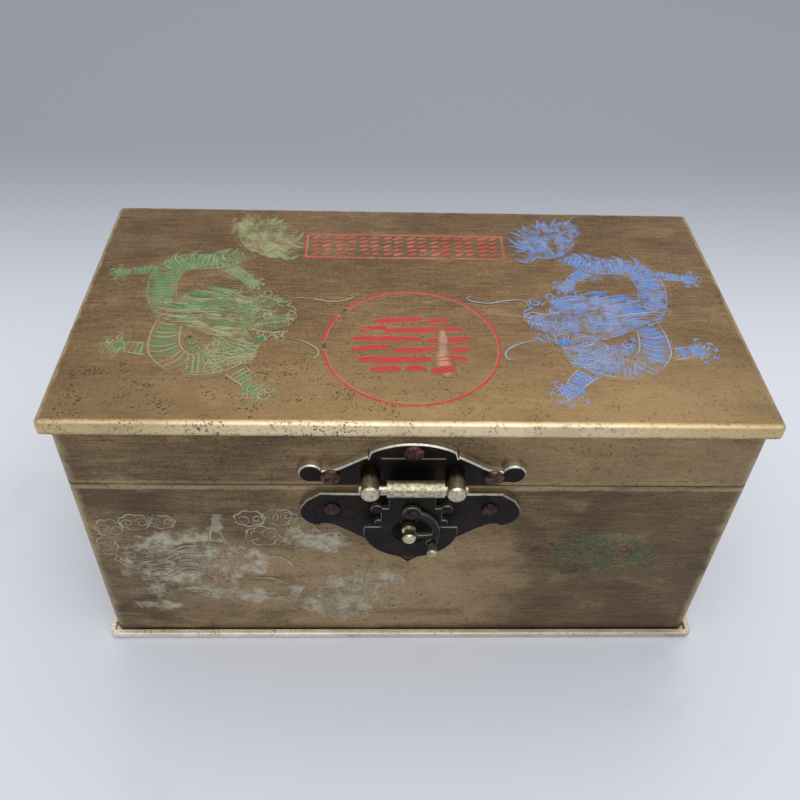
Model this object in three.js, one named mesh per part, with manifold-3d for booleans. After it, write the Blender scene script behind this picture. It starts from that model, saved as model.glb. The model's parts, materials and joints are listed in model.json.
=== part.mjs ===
// A rectangular brass jewelry box with a hinged lid and a riveted hasp latch.
// Millimetres. X runs left to right, Y from front to back, Z up.
// The origin is the centre of the underside.

import * as THREE from "three";
import { mergeVertices } from "three/addons/utils/BufferGeometryUtils.js";
import Module from "manifold-3d";

const wasm = await Module();
wasm.setup();

// Walls and plates of the box
const wallWidth = 186;
const wallDepth = 98;
const bodyHeight = 73.45; // underside to the upper edge of the body's walls
const lidHeight = 25.25; // lower edge of the lid's walls to the top
const seamGap = 0.3; // open line between body and lid
const wallSheet = 1.2; // thickness of the walls
const plateSheet = 1.8; // thickness of the lid plate and base plate
const wallCorner = 3; // outside radius of the upright corners
const plateCorner = 1.8; // corner radius of the lid plate and base plate, seen from above
const rimStand = 0.2; // solder gap between a wall and the rim around it
const lidRim = 4.5; // height of the lid plate's turned-down rim
const baseRim = 3; // height of the base plate's turned-up rim
const rimRounding = 1.5; // rounding where a plate turns into its rim

// Cast plates of the latch
const latchPlate = 2.2; // thickness
const latchBevel = 0.5;
const upperPlateMargin = 2.4; // bare lid wall below and above the upper plate
const crownHalfWidth = 11.2;
const crownRise = 3.2; // how far the crown's arc rises above its ends
const crownNotch = 0.8; // width of the notch between the crown and a shoulder
const crownStep = 1.6; // how far a shoulder starts below the end of the crown
const upperLobeReach = 30.3; // middle to the outer edge of a lobe
const upperLobeRadius = 3.3;
const upperLobeLift = 1.1; // lower edge of the plate to the bottom of a lobe
const lowerPlateGap = 0.9; // seam to the top edge of the lower plate
const lowerPlateDrop = 31; // top edge to the point
const lowerLobeReach = 30.7;
const lowerLobeRadius = 5.8;
const lowerLobeDrop = 7.85; // top edge to the middle of a lobe

// Rivets
const rivetShank = 1.2; // radius
const rivetPlay = 0.15; // between a shank or pin and its hole
const rivetTail = 2; // radius of the tail inside the wall
const rivetTailHeight = 0.7;
const upperRivetHead = 2.9; // radius
const lowerRivetHead = 2.4; // radius
const rivetSpread = 21.7; // middle of the latch to its outer rivets
const upperRivetLift = 3.55; // lower edge of the upper plate to its outer rivets
const crownRivetDrop = 3.1; // top of the upper plate to the crown rivet
const lowerRivetDrop = 5.9; // top edge of the lower plate to its outer rivets
const tipRivetLift = 5.2; // point of the lower plate to the tip rivet
const domeShare = 0.42; // height of a latch rivet's dome against its radius

// Posts, pin and catch
const pinLift = 5; // lower edge of the upper plate to the pin
const pinStand = 7.6; // wall to the middle of the pin
const pinRadius = 1;
const pinEnd = 0.6; // how far the pin sticks out of a post
const postRadius = 2.6;
const postSpread = 11.2; // middle of the latch to a post
const postCap = 2.7; // middle of the pin to the tip of a post
const postRounding = 0.9;
const tenonRadius = 1.5; // of a post, inside its plate
const tenonRecess = 0.3; // back of the plate to the end of the tenon

// Hasp flap
const barrelRadius = 2.3;
const barrelPlay = 1.1; // barrel to each post, when it is in the middle
const barrelShift = 0.6; // the barrel sits this far to the right of the middle
const flapThickness = 1.5;
const flapBevel = 0.35;
const neckHalfWidth = 6.3;
const neckDrop = 9.2; // pin to the top of the scalloped part
const waistHalfWidth = 8.3;
const earRadius = 1.7;
const earSpread = 9.4;
const earDrop = 9.7; // pin to the middle of an ear
const budRadius = 1.25;
const budSpread = 8.8;
const budDrop = 15.2; // pin to the middle of a bud
const discHalfWidth = 13;
const discHalfHeight = 11.4;
const discDrop = 19.2; // pin to the middle of the disc
const shoulderCut = 2.2; // middle of the disc up to the flat where its sides end
const flapHole = 5.2; // radius
const flapHoleDrop = 18.6; // pin to the middle of the hole

// Catch post and swing hook
const catchDrop = 18.3; // pin to the middle of the catch post
const catchSide = -0.5; // the post's middle against the middle of the latch
const catchRadius = 1.95;
const grooveRadius = 1.3;
const catchCap = 1.6; // length of the post's head
const hookGap = 0.3; // between the hook and what it passes
const hookThickness = 1.2;
const hookBevel = 0.25;
const hookDrop = 9.5; // pin to the hook's pivot
const hookEye = 2.5; // radius of the hook around its pivot
const hookReach = 6.7; // pivot sideways to the middle of the arm
const hookFall = 12.7; // pivot down to the knob
const knobReach = 5.9; // pivot sideways to the knob
const hookArm = 2; // width
const tongueFall = 9.9; // pivot down to the middle of the tongue
const tongueWidth = 1.5;
const knobRadius = 1.5;
const knobLength = 3.7;
const pivotRadius = 0.9;
const pivotHead = 1.4; // radius
const pivotHeadHeight = 0.6;

// Hinges on the rear wall
const hingeSpacing = 104;
const hingeWidth = 26;
const hingeLeaf = 13; // pin to the far edge of a leaf
const leafThickness = 1;
const knuckleRadius = 2.5;
const knuckleLength = 9; // of the lid leaf's middle knuckle
const knuckleGap = 0.3;
const hingePin = 1.1; // radius
const hingePinHead = 1.7; // radius
const lidOpening = 105; // degrees, where the stop ribs meet
const stopSlack = 1.5; // degrees left between the ribs of a fully open hinge
const stopRibHeight = 1.6;
const hingeRivetSpread = 16;
const hingeRivetRise = 9; // pin to the rivets
const hingeRivetHead = 1.9; // radius
const hingeRivetDome = 0.8;

// Fineness of the facets
const cornerSteps = 4;
const roundingSteps = 3;
const curveSteps = 8;
const turnSteps = 16;
const rivetSteps = 10;
const mergeDistance = 1e-4;

// Heights and places worked out from the sizes above
const plateWidth = wallWidth + 2 * (rimStand + plateSheet);
const plateDepth = wallDepth + 2 * (rimStand + plateSheet);
const lidBottom = bodyHeight + seamGap;
const boxHeight = lidBottom + lidHeight;
const seamHeight = bodyHeight + seamGap / 2;
const upperPlateBottom = lidBottom + upperPlateMargin;
const upperPlateTop = boxHeight - lidRim - upperPlateMargin;
const lowerPlateTop = bodyHeight - lowerPlateGap;
const pinHeight = upperPlateBottom + pinLift;
const barrelHalf = postSpread - postRadius - barrelPlay;
const flapBack = pinStand - barrelRadius;
const flapFront = flapBack + flapThickness;
const hookBack = flapFront + hookGap;
const hookFront = hookBack + hookThickness;
const catchHeight = pinHeight - catchDrop;
const pivotHeight = pinHeight - hookDrop;

const brass = { color: 0x8a6f4c, roughness: 0.42, metalness: 0.9 };
const darkBronze = { color: 0x26231f, roughness: 0.5, metalness: 0.75 };
const wornNickel = { color: 0xb8ab8c, roughness: 0.35, metalness: 0.95 };
const copper = { color: 0x5c3b31, roughness: 0.45, metalness: 0.85 };

const box = new THREE.Group();

// Adds a named piece of one material.
function addPiece(name, geometry, look) {
  const finished = geometry.index ? geometry.toNonIndexed() : geometry;
  finished.computeVertexNormals();
  const mesh = new THREE.Mesh(finished, new THREE.MeshStandardMaterial(look));
  mesh.name = name;
  box.add(mesh);
}

// A closed geometry as a solid for joining and cutting.
function solid(geometry) {
  const bare = geometry.clone();
  bare.deleteAttribute("normal");
  bare.deleteAttribute("uv");
  const merged = mergeVertices(bare, mergeDistance);
  const vertProperties = merged.attributes.position.array;
  const triVerts = new Uint32Array(merged.index.array);
  return new wasm.Manifold(new wasm.Mesh({ numProp: 3, vertProperties, triVerts }));
}

// The surface of a solid as a geometry.
function surface(made) {
  const mesh = made.getMesh();
  const geometry = new THREE.BufferGeometry();
  geometry.setAttribute("position", new THREE.BufferAttribute(mesh.vertProperties, 3));
  geometry.setIndex(new THREE.BufferAttribute(mesh.triVerts, 1));
  return geometry;
}

// Several closed geometries joined into one solid, with others cut away.
function joined(parts, cuts = []) {
  const whole = parts.map(solid).reduce((sum, next) => sum.add(next));
  return surface(cuts.map(solid).reduce((rest, cut) => rest.subtract(cut), whole));
}

// Rings of equally many points, each an outline at a height, joined into one closed surface.
// Outlines run anticlockwise. An endless loft joins its last ring to its first, others get two caps.
function loft(rings, endless = false) {
  const count = rings[0].outline.length;
  const position = rings.flatMap((ring) => ring.outline.flatMap((p) => [p.x, p.y, ring.height]));
  const index = [];
  const bands = endless ? rings.length : rings.length - 1;
  for (let band = 0; band < bands; band++) {
    const lower = band * count;
    const upper = ((band + 1) % rings.length) * count;
    for (let i = 0; i < count; i++) {
      const next = (i + 1) % count;
      index.push(lower + i, lower + next, upper + next);
      index.push(lower + i, upper + next, upper + i);
    }
  }
  if (!endless) {
    const last = (rings.length - 1) * count;
    for (const [a, b, c] of THREE.ShapeUtils.triangulateShape(rings[0].outline, [])) {
      index.push(c, b, a);
    }
    for (const [a, b, c] of THREE.ShapeUtils.triangulateShape(rings.at(-1).outline, [])) {
      index.push(last + a, last + b, last + c);
    }
  }
  const geometry = new THREE.BufferGeometry();
  geometry.setAttribute("position", new THREE.Float32BufferAttribute(position, 3));
  geometry.setIndex(index);
  return geometry;
}

// A rectangle with rounded corners, moved inwards by an inset.
function roundedRectangle(width, depth, radius, inset = 0) {
  const round = Math.max(radius - inset, 0.2);
  const points = [];
  [[1, 1], [-1, 1], [-1, -1], [1, -1]].forEach(([sideX, sideY], quarter) => {
    const middleX = sideX * (width / 2 - inset - round);
    const middleY = sideY * (depth / 2 - inset - round);
    for (let step = 0; step <= cornerSteps; step++) {
      const angle = (quarter + step / cornerSteps) * (Math.PI / 2);
      const x = middleX + round * Math.cos(angle);
      points.push(new THREE.Vector2(x, middleY + round * Math.sin(angle)));
    }
  });
  return points;
}

// An outline moved inwards by a distance, each corner along its own bisector.
function insetOutline(outline, distance) {
  return outline.map((point, i) => {
    const into = point.clone().sub(outline.at(i - 1)).normalize();
    const away = outline[(i + 1) % outline.length].clone().sub(point).normalize();
    const reach = distance / Math.max(1 + into.dot(away), 0.6);
    return new THREE.Vector2(point.x - (into.y + away.y) * reach, point.y + (into.x + away.x) * reach);
  });
}

// A flat plate of any outline between two heights, its upper edge bevelled.
function plate(outline, from, to, bevel) {
  return loft([
    { outline, height: from },
    { outline, height: to - bevel },
    { outline: insetOutline(outline, bevel), height: to },
  ]);
}

// The right half of an outline, from its top to its bottom, with its mirror image: anticlockwise.
function mirrored(half) {
  const right = half.filter((p, i) => i === 0 || p.distanceTo(half[i - 1]) > 0.05);
  const left = right.filter((p) => p.x > 0.01).map((p) => new THREE.Vector2(-p.x, p.y));
  return [...left, ...right.reverse()];
}

// An ellipse, anticlockwise.
function ellipse(x, y, radiusX, radiusY = radiusX, steps = turnSteps) {
  return Array.from({ length: steps }, (_, i) => {
    const angle = (i / steps) * 2 * Math.PI;
    return new THREE.Vector2(x + radiusX * Math.cos(angle), y + radiusY * Math.sin(angle));
  });
}

// A box between two corners.
function block(x0, x1, y0, y1, z0, z1) {
  const geometry = new THREE.BoxGeometry(Math.abs(x1 - x0), Math.abs(y1 - y0), Math.abs(z1 - z0));
  return geometry.translate((x0 + x1) / 2, (y0 + y1) / 2, (z0 + z1) / 2);
}

// A round piece turned about the Z axis, from pairs of radius and height, lowest first.
function turned(profile, x = 0, y = 0, steps = turnSteps) {
  const points = profile.map(([radius, height]) => new THREE.Vector2(radius, height));
  return new THREE.LatheGeometry(points, steps).rotateX(Math.PI / 2).translate(x, y, 0);
}

// A plain round bar along Z.
function bar(radius, from, to, x = 0, y = 0, steps = turnSteps) {
  return turned([[0, from], [radius, from], [radius, to], [0, to]], x, y, steps);
}

// A round bar along X at a height and a distance from the wall.
function crossBar(radius, halfLength, y, z, x = 0) {
  return bar(radius, -halfLength, halfLength).rotateY(Math.PI / 2).translate(x, y, z);
}

// The latch and the hinges are drawn flat: X across, Y for height, Z away from the wall.
function onFront(geometry) {
  return geometry.rotateX(Math.PI / 2).translate(0, -wallDepth / 2, 0);
}
function onRear(geometry) {
  return geometry.rotateX(Math.PI / 2).rotateZ(Math.PI).translate(0, wallDepth / 2, 0);
}

// A domed rivet through a plate and the wall behind it.
function rivet(x, y, grip, head, dome) {
  const profile = [
    [0, -wallSheet - rivetTailHeight],
    [rivetTail, -wallSheet - rivetTailHeight],
    [rivetTail, -wallSheet],
    [rivetShank, -wallSheet],
    [rivetShank, grip],
    [head, grip],
  ];
  for (let step = 1; step < roundingSteps; step++) {
    const angle = (step / roundingSteps) * (Math.PI / 2);
    profile.push([head * Math.cos(angle), grip + dome * Math.sin(angle)]);
  }
  profile.push([0, grip + dome]);
  return turned(profile, x, y, rivetSteps);
}

// The hole for a rivet, through a plate and a wall.
function rivetHole(x, y) {
  return bar(rivetShank + rivetPlay, -2 * wallSheet, latchPlate + wallSheet, x, y, rivetSteps);
}

// Where each rivet sits on the front: x, height, head radius.
const frontRivets = {
  lid: [
    ["rivet_crown", 0, upperPlateTop - crownRivetDrop, upperRivetHead],
    ["rivet_upper_left", -rivetSpread, upperPlateBottom + upperRivetLift, upperRivetHead],
    ["rivet_upper_right", rivetSpread, upperPlateBottom + upperRivetLift, upperRivetHead],
  ],
  body: [
    ["rivet_lower_left", -rivetSpread, lowerPlateTop - lowerRivetDrop, lowerRivetHead],
    ["rivet_lower_right", rivetSpread, lowerPlateTop - lowerRivetDrop, lowerRivetHead],
    ["rivet_lower_tip", 0, lowerPlateTop - lowerPlateDrop + tipRivetLift, lowerRivetHead],
  ],
};

// Where the rivets of a hinge leaf sit: lid leaves above the hinge pin, body leaves below it.
function hingeRivetPlaces(hingeX, rise) {
  return [-1, 1].map((side) => [hingeX + (side * hingeRivetSpread) / 2, seamHeight + rise * hingeRivetRise]);
}
const hingeMiddles = { left: -hingeSpacing / 2, right: hingeSpacing / 2 };

// Four upright walls as one band of sheet, with the holes of the rivets on its front and rear.
function walls(from, to, rivets, rise) {
  const outer = roundedRectangle(wallWidth, wallDepth, wallCorner);
  const inner = roundedRectangle(wallWidth, wallDepth, wallCorner, wallSheet);
  const band = loft(
    [
      { outline: inner, height: from },
      { outline: outer, height: from },
      { outline: outer, height: to },
      { outline: inner, height: to },
    ],
    true,
  );
  const frontHoles = rivets.map(([, x, y]) => onFront(rivetHole(x, y)));
  const rearHoles = Object.values(hingeMiddles)
    .flatMap((hingeX) => hingeRivetPlaces(hingeX, rise))
    .map(([x, y]) => onRear(rivetHole(x, y)));
  return joined([band], [...frontHoles, ...rearHoles]);
}

// Base plate: flat floor, rounded turn, low rim standing up outside the walls
function basePlate() {
  const ring = (inset, height) => ({
    outline: roundedRectangle(plateWidth, plateDepth, plateCorner, inset),
    height,
  });
  const rings = [];
  for (let step = 0; step <= roundingSteps; step++) {
    const angle = (step / roundingSteps) * (Math.PI / 2);
    rings.push(ring(rimRounding * (1 - Math.sin(angle)), rimRounding * (1 - Math.cos(angle))));
  }
  rings.push(ring(0, baseRim), ring(plateSheet, baseRim), ring(plateSheet, plateSheet));
  return loft(rings);
}

// Lid plate: the same pressing upside down, with a higher rim hanging outside the walls
function lidPlate() {
  const ring = (inset, height) => ({
    outline: roundedRectangle(plateWidth, plateDepth, plateCorner, inset),
    height,
  });
  const rings = [
    ring(plateSheet, boxHeight - plateSheet),
    ring(plateSheet, boxHeight - lidRim),
    ring(0, boxHeight - lidRim),
  ];
  for (let step = 0; step <= roundingSteps; step++) {
    const angle = (step / roundingSteps) * (Math.PI / 2);
    const drop = rimRounding * (1 - Math.sin(angle));
    rings.push(ring(rimRounding * (1 - Math.cos(angle)), boxHeight - drop));
  }
  return loft(rings);
}

addPiece("base_plate", basePlate(), brass);
addPiece("body_walls", walls(plateSheet, bodyHeight, frontRivets.body, -1), brass);
addPiece("lid_plate", lidPlate(), brass);
addPiece("lid_walls", walls(lidBottom, boxHeight - plateSheet, frontRivets.lid, 1), brass);

// Upper latch plate: a crown between two sloping shoulders, each ending in a round lobe
function upperPlateOutline() {
  const height = upperPlateTop - upperPlateBottom;
  const crownRadius = (crownHalfWidth ** 2 + crownRise ** 2) / (2 * crownRise);
  const crownEnd = Math.PI / 2 - Math.asin(crownHalfWidth / crownRadius);
  const springLine = height - crownRise;
  const lobeX = upperLobeReach - upperLobeRadius;
  const lobeY = upperLobeLift + upperLobeRadius;
  const lobeStart = THREE.MathUtils.degToRad(160);
  const lobeEnd = THREE.MathUtils.degToRad(-110);
  const shoulder = springLine - crownStep;
  const half = new THREE.Path();
  half.moveTo(0, height);
  half.absarc(0, height - crownRadius, crownRadius, Math.PI / 2, crownEnd, true);
  half.lineTo(crownHalfWidth + crownNotch / 2, shoulder - crownNotch);
  half.lineTo(crownHalfWidth + crownNotch, shoulder);
  half.bezierCurveTo(
    crownHalfWidth + 5.3,
    shoulder - 2.2,
    rivetSpread - 0.7,
    lobeY + 0.2,
    lobeX + upperLobeRadius * Math.cos(lobeStart),
    lobeY + upperLobeRadius * Math.sin(lobeStart),
  );
  half.absarc(lobeX, lobeY, upperLobeRadius, lobeStart, lobeEnd, true);
  half.absarc(rivetSpread, upperRivetLift, upperRivetLift, -Math.PI / 4.5, -Math.PI / 2, true);
  half.lineTo(0, 0);
  return mirrored(half.getPoints(curveSteps)).map((p) => p.setY(p.y + upperPlateBottom));
}

// Lower latch plate: straight top edge, round lobes at its sides, tapering to a point
function lowerPlateOutline() {
  const lobeX = lowerLobeReach - lowerLobeRadius;
  const lobeBottom = -lowerLobeDrop - lowerLobeRadius;
  const half = new THREE.Path();
  half.moveTo(0, 0);
  half.lineTo(lobeX, 0);
  half.lineTo(lobeX + lowerLobeRadius * 0.65, -lowerLobeDrop * 0.36);
  half.absarc(lobeX, -lowerLobeDrop, lowerLobeRadius, Math.PI / 5, -Math.PI * 0.47, true);
  half.quadraticCurveTo(lobeX - 0.9, lobeBottom + 1.7, lobeX - 3.8, lobeBottom + 0.1);
  half.quadraticCurveTo(lobeX * 0.46, -lowerPlateDrop * 0.64, 1.4, -lowerPlateDrop + 1.5);
  half.lineTo(0, -lowerPlateDrop);
  return mirrored(half.getPoints(curveSteps)).map((p) => p.setY(p.y + lowerPlateTop));
}

function tenonHole(x, y) {
  return bar(tenonRadius + rivetPlay, -latchPlate, latchPlate * 2, x, y);
}

const upperPlate = joined(
  [plate(upperPlateOutline(), 0, latchPlate, latchBevel)],
  [
    ...frontRivets.lid.map(([, x, y]) => rivetHole(x, y)),
    ...[-1, 1].map((side) => tenonHole(side * postSpread, pinHeight)),
  ],
);
addPiece("latch_upper_plate", onFront(upperPlate), darkBronze);

const lowerPlate = joined(
  [plate(lowerPlateOutline(), 0, latchPlate, latchBevel)],
  [...frontRivets.body.map(([, x, y]) => rivetHole(x, y)), tenonHole(catchSide, catchHeight)],
);
addPiece("latch_lower_plate", onFront(lowerPlate), darkBronze);

for (const [name, x, y, head] of [...frontRivets.lid, ...frontRivets.body]) {
  addPiece(name, onFront(rivet(x, y, latchPlate, head, head * domeShare)), copper);
}

// Posts that carry the pin, each with a tenon in the plate and a rounded tip
function latchPost(x) {
  const tip = pinStand + postCap;
  const profile = [
    [0, tenonRecess],
    [tenonRadius, tenonRecess],
    [tenonRadius, latchPlate],
    [postRadius, latchPlate],
    [postRadius, tip - postRounding],
    [postRadius - postRounding * 0.3, tip - postRounding * 0.3],
    [postRadius - postRounding, tip],
    [0, tip],
  ];
  const pinHole = crossBar(pinRadius + rivetPlay, postRadius * 2, pinHeight, pinStand, x);
  return joined([turned(profile, x, pinHeight)], [pinHole]);
}
addPiece("latch_post_left", onFront(latchPost(-postSpread)), wornNickel);
addPiece("latch_post_right", onFront(latchPost(postSpread)), wornNickel);

const pinHalf = postSpread + postRadius + pinEnd;
addPiece("hasp_pin", onFront(crossBar(pinRadius, pinHalf, pinHeight, pinStand)), wornNickel);

// Catch post: a tenon, a body that passes through the flap, a groove and a head
function catchPost() {
  const groove = flapFront;
  const head = hookFront + hookGap;
  const profile = [
    [0, tenonRecess],
    [tenonRadius, tenonRecess],
    [tenonRadius, latchPlate],
    [catchRadius + 0.6, latchPlate],
    [catchRadius + 0.6, latchPlate + 0.8],
    [catchRadius, latchPlate + 1.2],
    [catchRadius, groove],
    [grooveRadius, groove],
    [grooveRadius, head],
    [catchRadius, head],
    [catchRadius, head + catchCap - 0.5],
    [catchRadius - 0.5, head + catchCap],
    [0, head + catchCap],
  ];
  return turned(profile, catchSide, catchHeight);
}
addPiece("catch_post", onFront(catchPost()), wornNickel);

// Hasp flap: neck, ears, buds and disc in one plate, its top rolled into a barrel on the pin
function discOutline() {
  const middle = pinHeight - discDrop;
  const shoulder = Math.asin(shoulderCut / discHalfHeight);
  const steps = turnSteps + 4;
  const sweep = Math.PI + 2 * shoulder;
  const rim = Array.from({ length: steps + 1 }, (_, i) => {
    const angle = -Math.PI - shoulder + (i / steps) * sweep;
    const x = discHalfWidth * Math.cos(angle);
    return new THREE.Vector2(x, middle + discHalfHeight * Math.sin(angle));
  });
  return rim;
}

function haspFlap() {
  const slab = (outline) => plate(outline, flapBack, flapFront, flapBevel);
  const slabBetween = (halfWidth, top, bottom) =>
    slab([
      new THREE.Vector2(-halfWidth, pinHeight - bottom),
      new THREE.Vector2(halfWidth, pinHeight - bottom),
      new THREE.Vector2(halfWidth, pinHeight - top),
      new THREE.Vector2(-halfWidth, pinHeight - top),
    ]);
  const parts = [
    crossBar(barrelRadius, barrelHalf, pinHeight, pinStand, barrelShift),
    slabBetween(neckHalfWidth, -flapBevel, neckDrop + earRadius),
    slabBetween(waistHalfWidth, neckDrop, discDrop),
    slab(discOutline()),
  ];
  for (const side of [-1, 1]) {
    parts.push(slab(ellipse(side * earSpread, pinHeight - earDrop, earRadius, earRadius, 14)));
    parts.push(slab(ellipse(side * budSpread, pinHeight - budDrop, budRadius, budRadius, 12)));
  }
  return joined(parts, [
    crossBar(pinRadius + rivetPlay, barrelHalf * 2, pinHeight, pinStand),
    bar(flapHole, 0, pinStand * 2, 0, pinHeight - flapHoleDrop, 28),
    bar(pivotRadius + rivetPlay, 0, pinStand * 2, 0, pivotHeight, 14),
  ]);
}
addPiece("hasp_flap", onFront(haspFlap()), darkBronze);

// Rivet that holds the hook on the flap
function hookRivet() {
  const tail = flapBack - pivotHeadHeight;
  const profile = [
    [0, tail],
    [pivotHead, tail],
    [pivotHead, flapBack],
    [pivotRadius, flapBack],
    [pivotRadius, hookFront],
    [pivotHead, hookFront],
    [pivotHead * 0.75, hookFront + pivotHeadHeight * 0.7],
    [0, hookFront + pivotHeadHeight],
  ];
  return turned(profile, 0, pivotHeight, 14);
}
addPiece("hook_rivet", onFront(hookRivet()), copper);

// A strip along a curve, as wide at each point as its width there.
function strip(points, widths) {
  const sides = points.map((point, i) => {
    const ahead = points[Math.min(i + 1, points.length - 1)];
    const behind = points[Math.max(i - 1, 0)];
    const along = ahead.clone().sub(behind).normalize();
    const across = new THREE.Vector2(-along.y, along.x).multiplyScalar(widths[i] / 2);
    return [point.clone().sub(across), point.clone().add(across)];
  });
  return [...sides.map(([right]) => right), ...sides.map(([, left]) => left).reverse()];
}

// Swing hook: an eye on the pivot, an arm curving round the hole, a tongue and a knob
function swingHook() {
  const slab = (outline) => plate(outline, hookBack, hookFront, hookBevel);
  const armCurve = new THREE.CatmullRomCurve3([
    new THREE.Vector3(hookEye * 0.2, 0, 0),
    new THREE.Vector3(hookReach * 0.64, -hookFall * 0.17, 0),
    new THREE.Vector3(hookReach, -hookFall * 0.5, 0),
    new THREE.Vector3(knobReach + 0.4, -hookFall, 0),
  ]);
  const arm = armCurve
    .getPoints(curveSteps + 2)
    .map((p) => new THREE.Vector2(p.x, p.y + pivotHeight));
  const tongue = [
    new THREE.Vector2(hookReach, pivotHeight - tongueFall + 0.2),
    new THREE.Vector2(hookReach * 0.6, pivotHeight - tongueFall),
    new THREE.Vector2(catchSide + grooveRadius * 0.6, pivotHeight - tongueFall - 0.1),
  ];
  const parts = [
    slab(ellipse(0, pivotHeight, hookEye, hookEye, 22)),
    slab(strip(arm, arm.map(() => hookArm))),
    slab(strip(tongue, [hookArm, tongueWidth, tongueWidth * 0.85])),
    slab(ellipse(knobReach, pivotHeight - hookFall, hookArm * 0.8, hookArm * 0.8, 16)),
    turned(
      [
        [0, hookBack + hookBevel],
        [knobRadius * 0.8, hookBack + hookBevel],
        [knobRadius * 0.8, hookFront + 0.6],
        [knobRadius, hookFront + 1.2],
        [knobRadius, hookFront + knobLength - 0.4],
        [knobRadius - 0.4, hookFront + knobLength],
        [0, hookFront + knobLength],
      ],
      knobReach,
      pivotHeight - hookFall,
      16,
    ),
  ];
  return joined(parts, [
    bar(pivotRadius + rivetPlay, 0, pinStand * 2, 0, pivotHeight, 14),
    bar(grooveRadius + hookGap, hookBack - 1, hookFront + hookGap / 2, catchSide, catchHeight),
  ]);
}
addPiece("swing_hook", onFront(swingHook()), darkBronze);

// A leaf of a hinge, its knuckles round the pin. Rise is 1 for a lid leaf and -1 for a body leaf.
// The rib across each leaf meets the other leaf's rib when the lid is fully open.
function hingeLeafPiece(hingeX, rise, spans) {
  const past = knuckleRadius + knuckleGap;
  const ribNear = past + knuckleGap;
  const ribAngle = THREE.MathUtils.degToRad((lidOpening + stopSlack) / 2);
  const ribReach = knuckleRadius + ribNear / Math.tan(ribAngle);
  const half = hingeWidth / 2;
  const level = (distance) => seamHeight + rise * distance;
  const parts = [
    block(hingeX - half, hingeX + half, level(past), level(hingeLeaf), 0, leafThickness),
    block(hingeX - half, hingeX + half, level(ribNear), level(ribNear + stopRibHeight), 0, ribReach),
  ];
  for (const [from, to] of spans) {
    const middle = hingeX + (from + to) / 2;
    parts.push(crossBar(knuckleRadius, (to - from) / 2, seamHeight, knuckleRadius, middle));
    parts.push(block(hingeX + from, hingeX + to, level(0), level(ribNear + 0.5), 0, leafThickness));
  }
  return joined(parts, [
    crossBar(hingePin + rivetPlay, hingeWidth, seamHeight, knuckleRadius, hingeX),
    ...hingeRivetPlaces(hingeX, rise).map(([x, y]) => rivetHole(x, y)),
  ]);
}

function hingePinPiece(hingeX) {
  const half = hingeWidth / 2;
  const heads = [-1, 1].map((side) =>
    crossBar(hingePinHead, 0.5, seamHeight, knuckleRadius, hingeX + side * (half + 0.5)),
  );
  return joined([crossBar(hingePin, half + 0.2, seamHeight, knuckleRadius, hingeX), ...heads]);
}

// The rear is seen from behind here, so a hinge on the right has its middle at a negative X.
for (const [side, middle] of Object.entries(hingeMiddles)) {
  const half = hingeWidth / 2;
  const inner = knuckleLength / 2;
  const spans = {
    body: [[-half, -inner - knuckleGap], [inner + knuckleGap, half]],
    lid: [[-inner, inner]],
  };
  for (const [leaf, rise] of [["body", -1], ["lid", 1]]) {
    const made = hingeLeafPiece(-middle, rise, spans[leaf]);
    addPiece(`hinge_${side}_${leaf}_leaf`, onRear(made), darkBronze);
    hingeRivetPlaces(-middle, rise).forEach(([x, y], i) => {
      const rivetPiece = rivet(x, y, leafThickness, hingeRivetHead, hingeRivetDome);
      addPiece(`hinge_${side}_${leaf}_rivet_${i + 1}`, onRear(rivetPiece), copper);
    });
  }
  addPiece(`hinge_${side}_pin`, onRear(hingePinPiece(-middle)), wornNickel);
}

export default box;
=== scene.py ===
"""An old brass jewelry box dressed around its frame: tarnished sheet, a cast hasp and worn paintings."""

import json
from functools import partial

import bmesh
import bpy
import numpy as np
from mathutils import Matrix, Vector

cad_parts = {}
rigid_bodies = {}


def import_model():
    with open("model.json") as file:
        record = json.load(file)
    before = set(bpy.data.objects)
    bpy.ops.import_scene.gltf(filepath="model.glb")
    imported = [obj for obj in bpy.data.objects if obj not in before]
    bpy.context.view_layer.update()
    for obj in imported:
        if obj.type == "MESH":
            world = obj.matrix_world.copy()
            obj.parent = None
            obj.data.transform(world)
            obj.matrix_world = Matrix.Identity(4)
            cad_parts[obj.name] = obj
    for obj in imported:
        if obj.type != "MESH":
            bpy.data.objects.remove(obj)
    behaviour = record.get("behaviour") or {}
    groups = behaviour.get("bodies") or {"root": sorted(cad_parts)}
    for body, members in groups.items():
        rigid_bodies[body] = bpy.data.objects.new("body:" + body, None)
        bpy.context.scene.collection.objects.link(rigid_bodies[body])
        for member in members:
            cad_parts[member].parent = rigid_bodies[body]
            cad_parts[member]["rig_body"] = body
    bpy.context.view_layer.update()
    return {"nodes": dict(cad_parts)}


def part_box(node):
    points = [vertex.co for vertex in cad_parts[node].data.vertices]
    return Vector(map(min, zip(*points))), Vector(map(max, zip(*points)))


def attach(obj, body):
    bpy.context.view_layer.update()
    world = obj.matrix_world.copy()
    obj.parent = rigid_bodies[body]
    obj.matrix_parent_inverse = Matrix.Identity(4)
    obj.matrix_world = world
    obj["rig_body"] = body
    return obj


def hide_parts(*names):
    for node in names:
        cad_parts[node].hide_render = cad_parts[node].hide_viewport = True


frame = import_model()

# Lengths in this script are millimetres, and MM turns them into Blender's metres
MM = 0.001
UP = np.array([0.0, 0.0, 1.0])


def node_box(name):
    """Lowest and highest corner of a node of the frame."""
    low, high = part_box(name)
    return np.array(low) / MM, np.array(high) / MM


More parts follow.
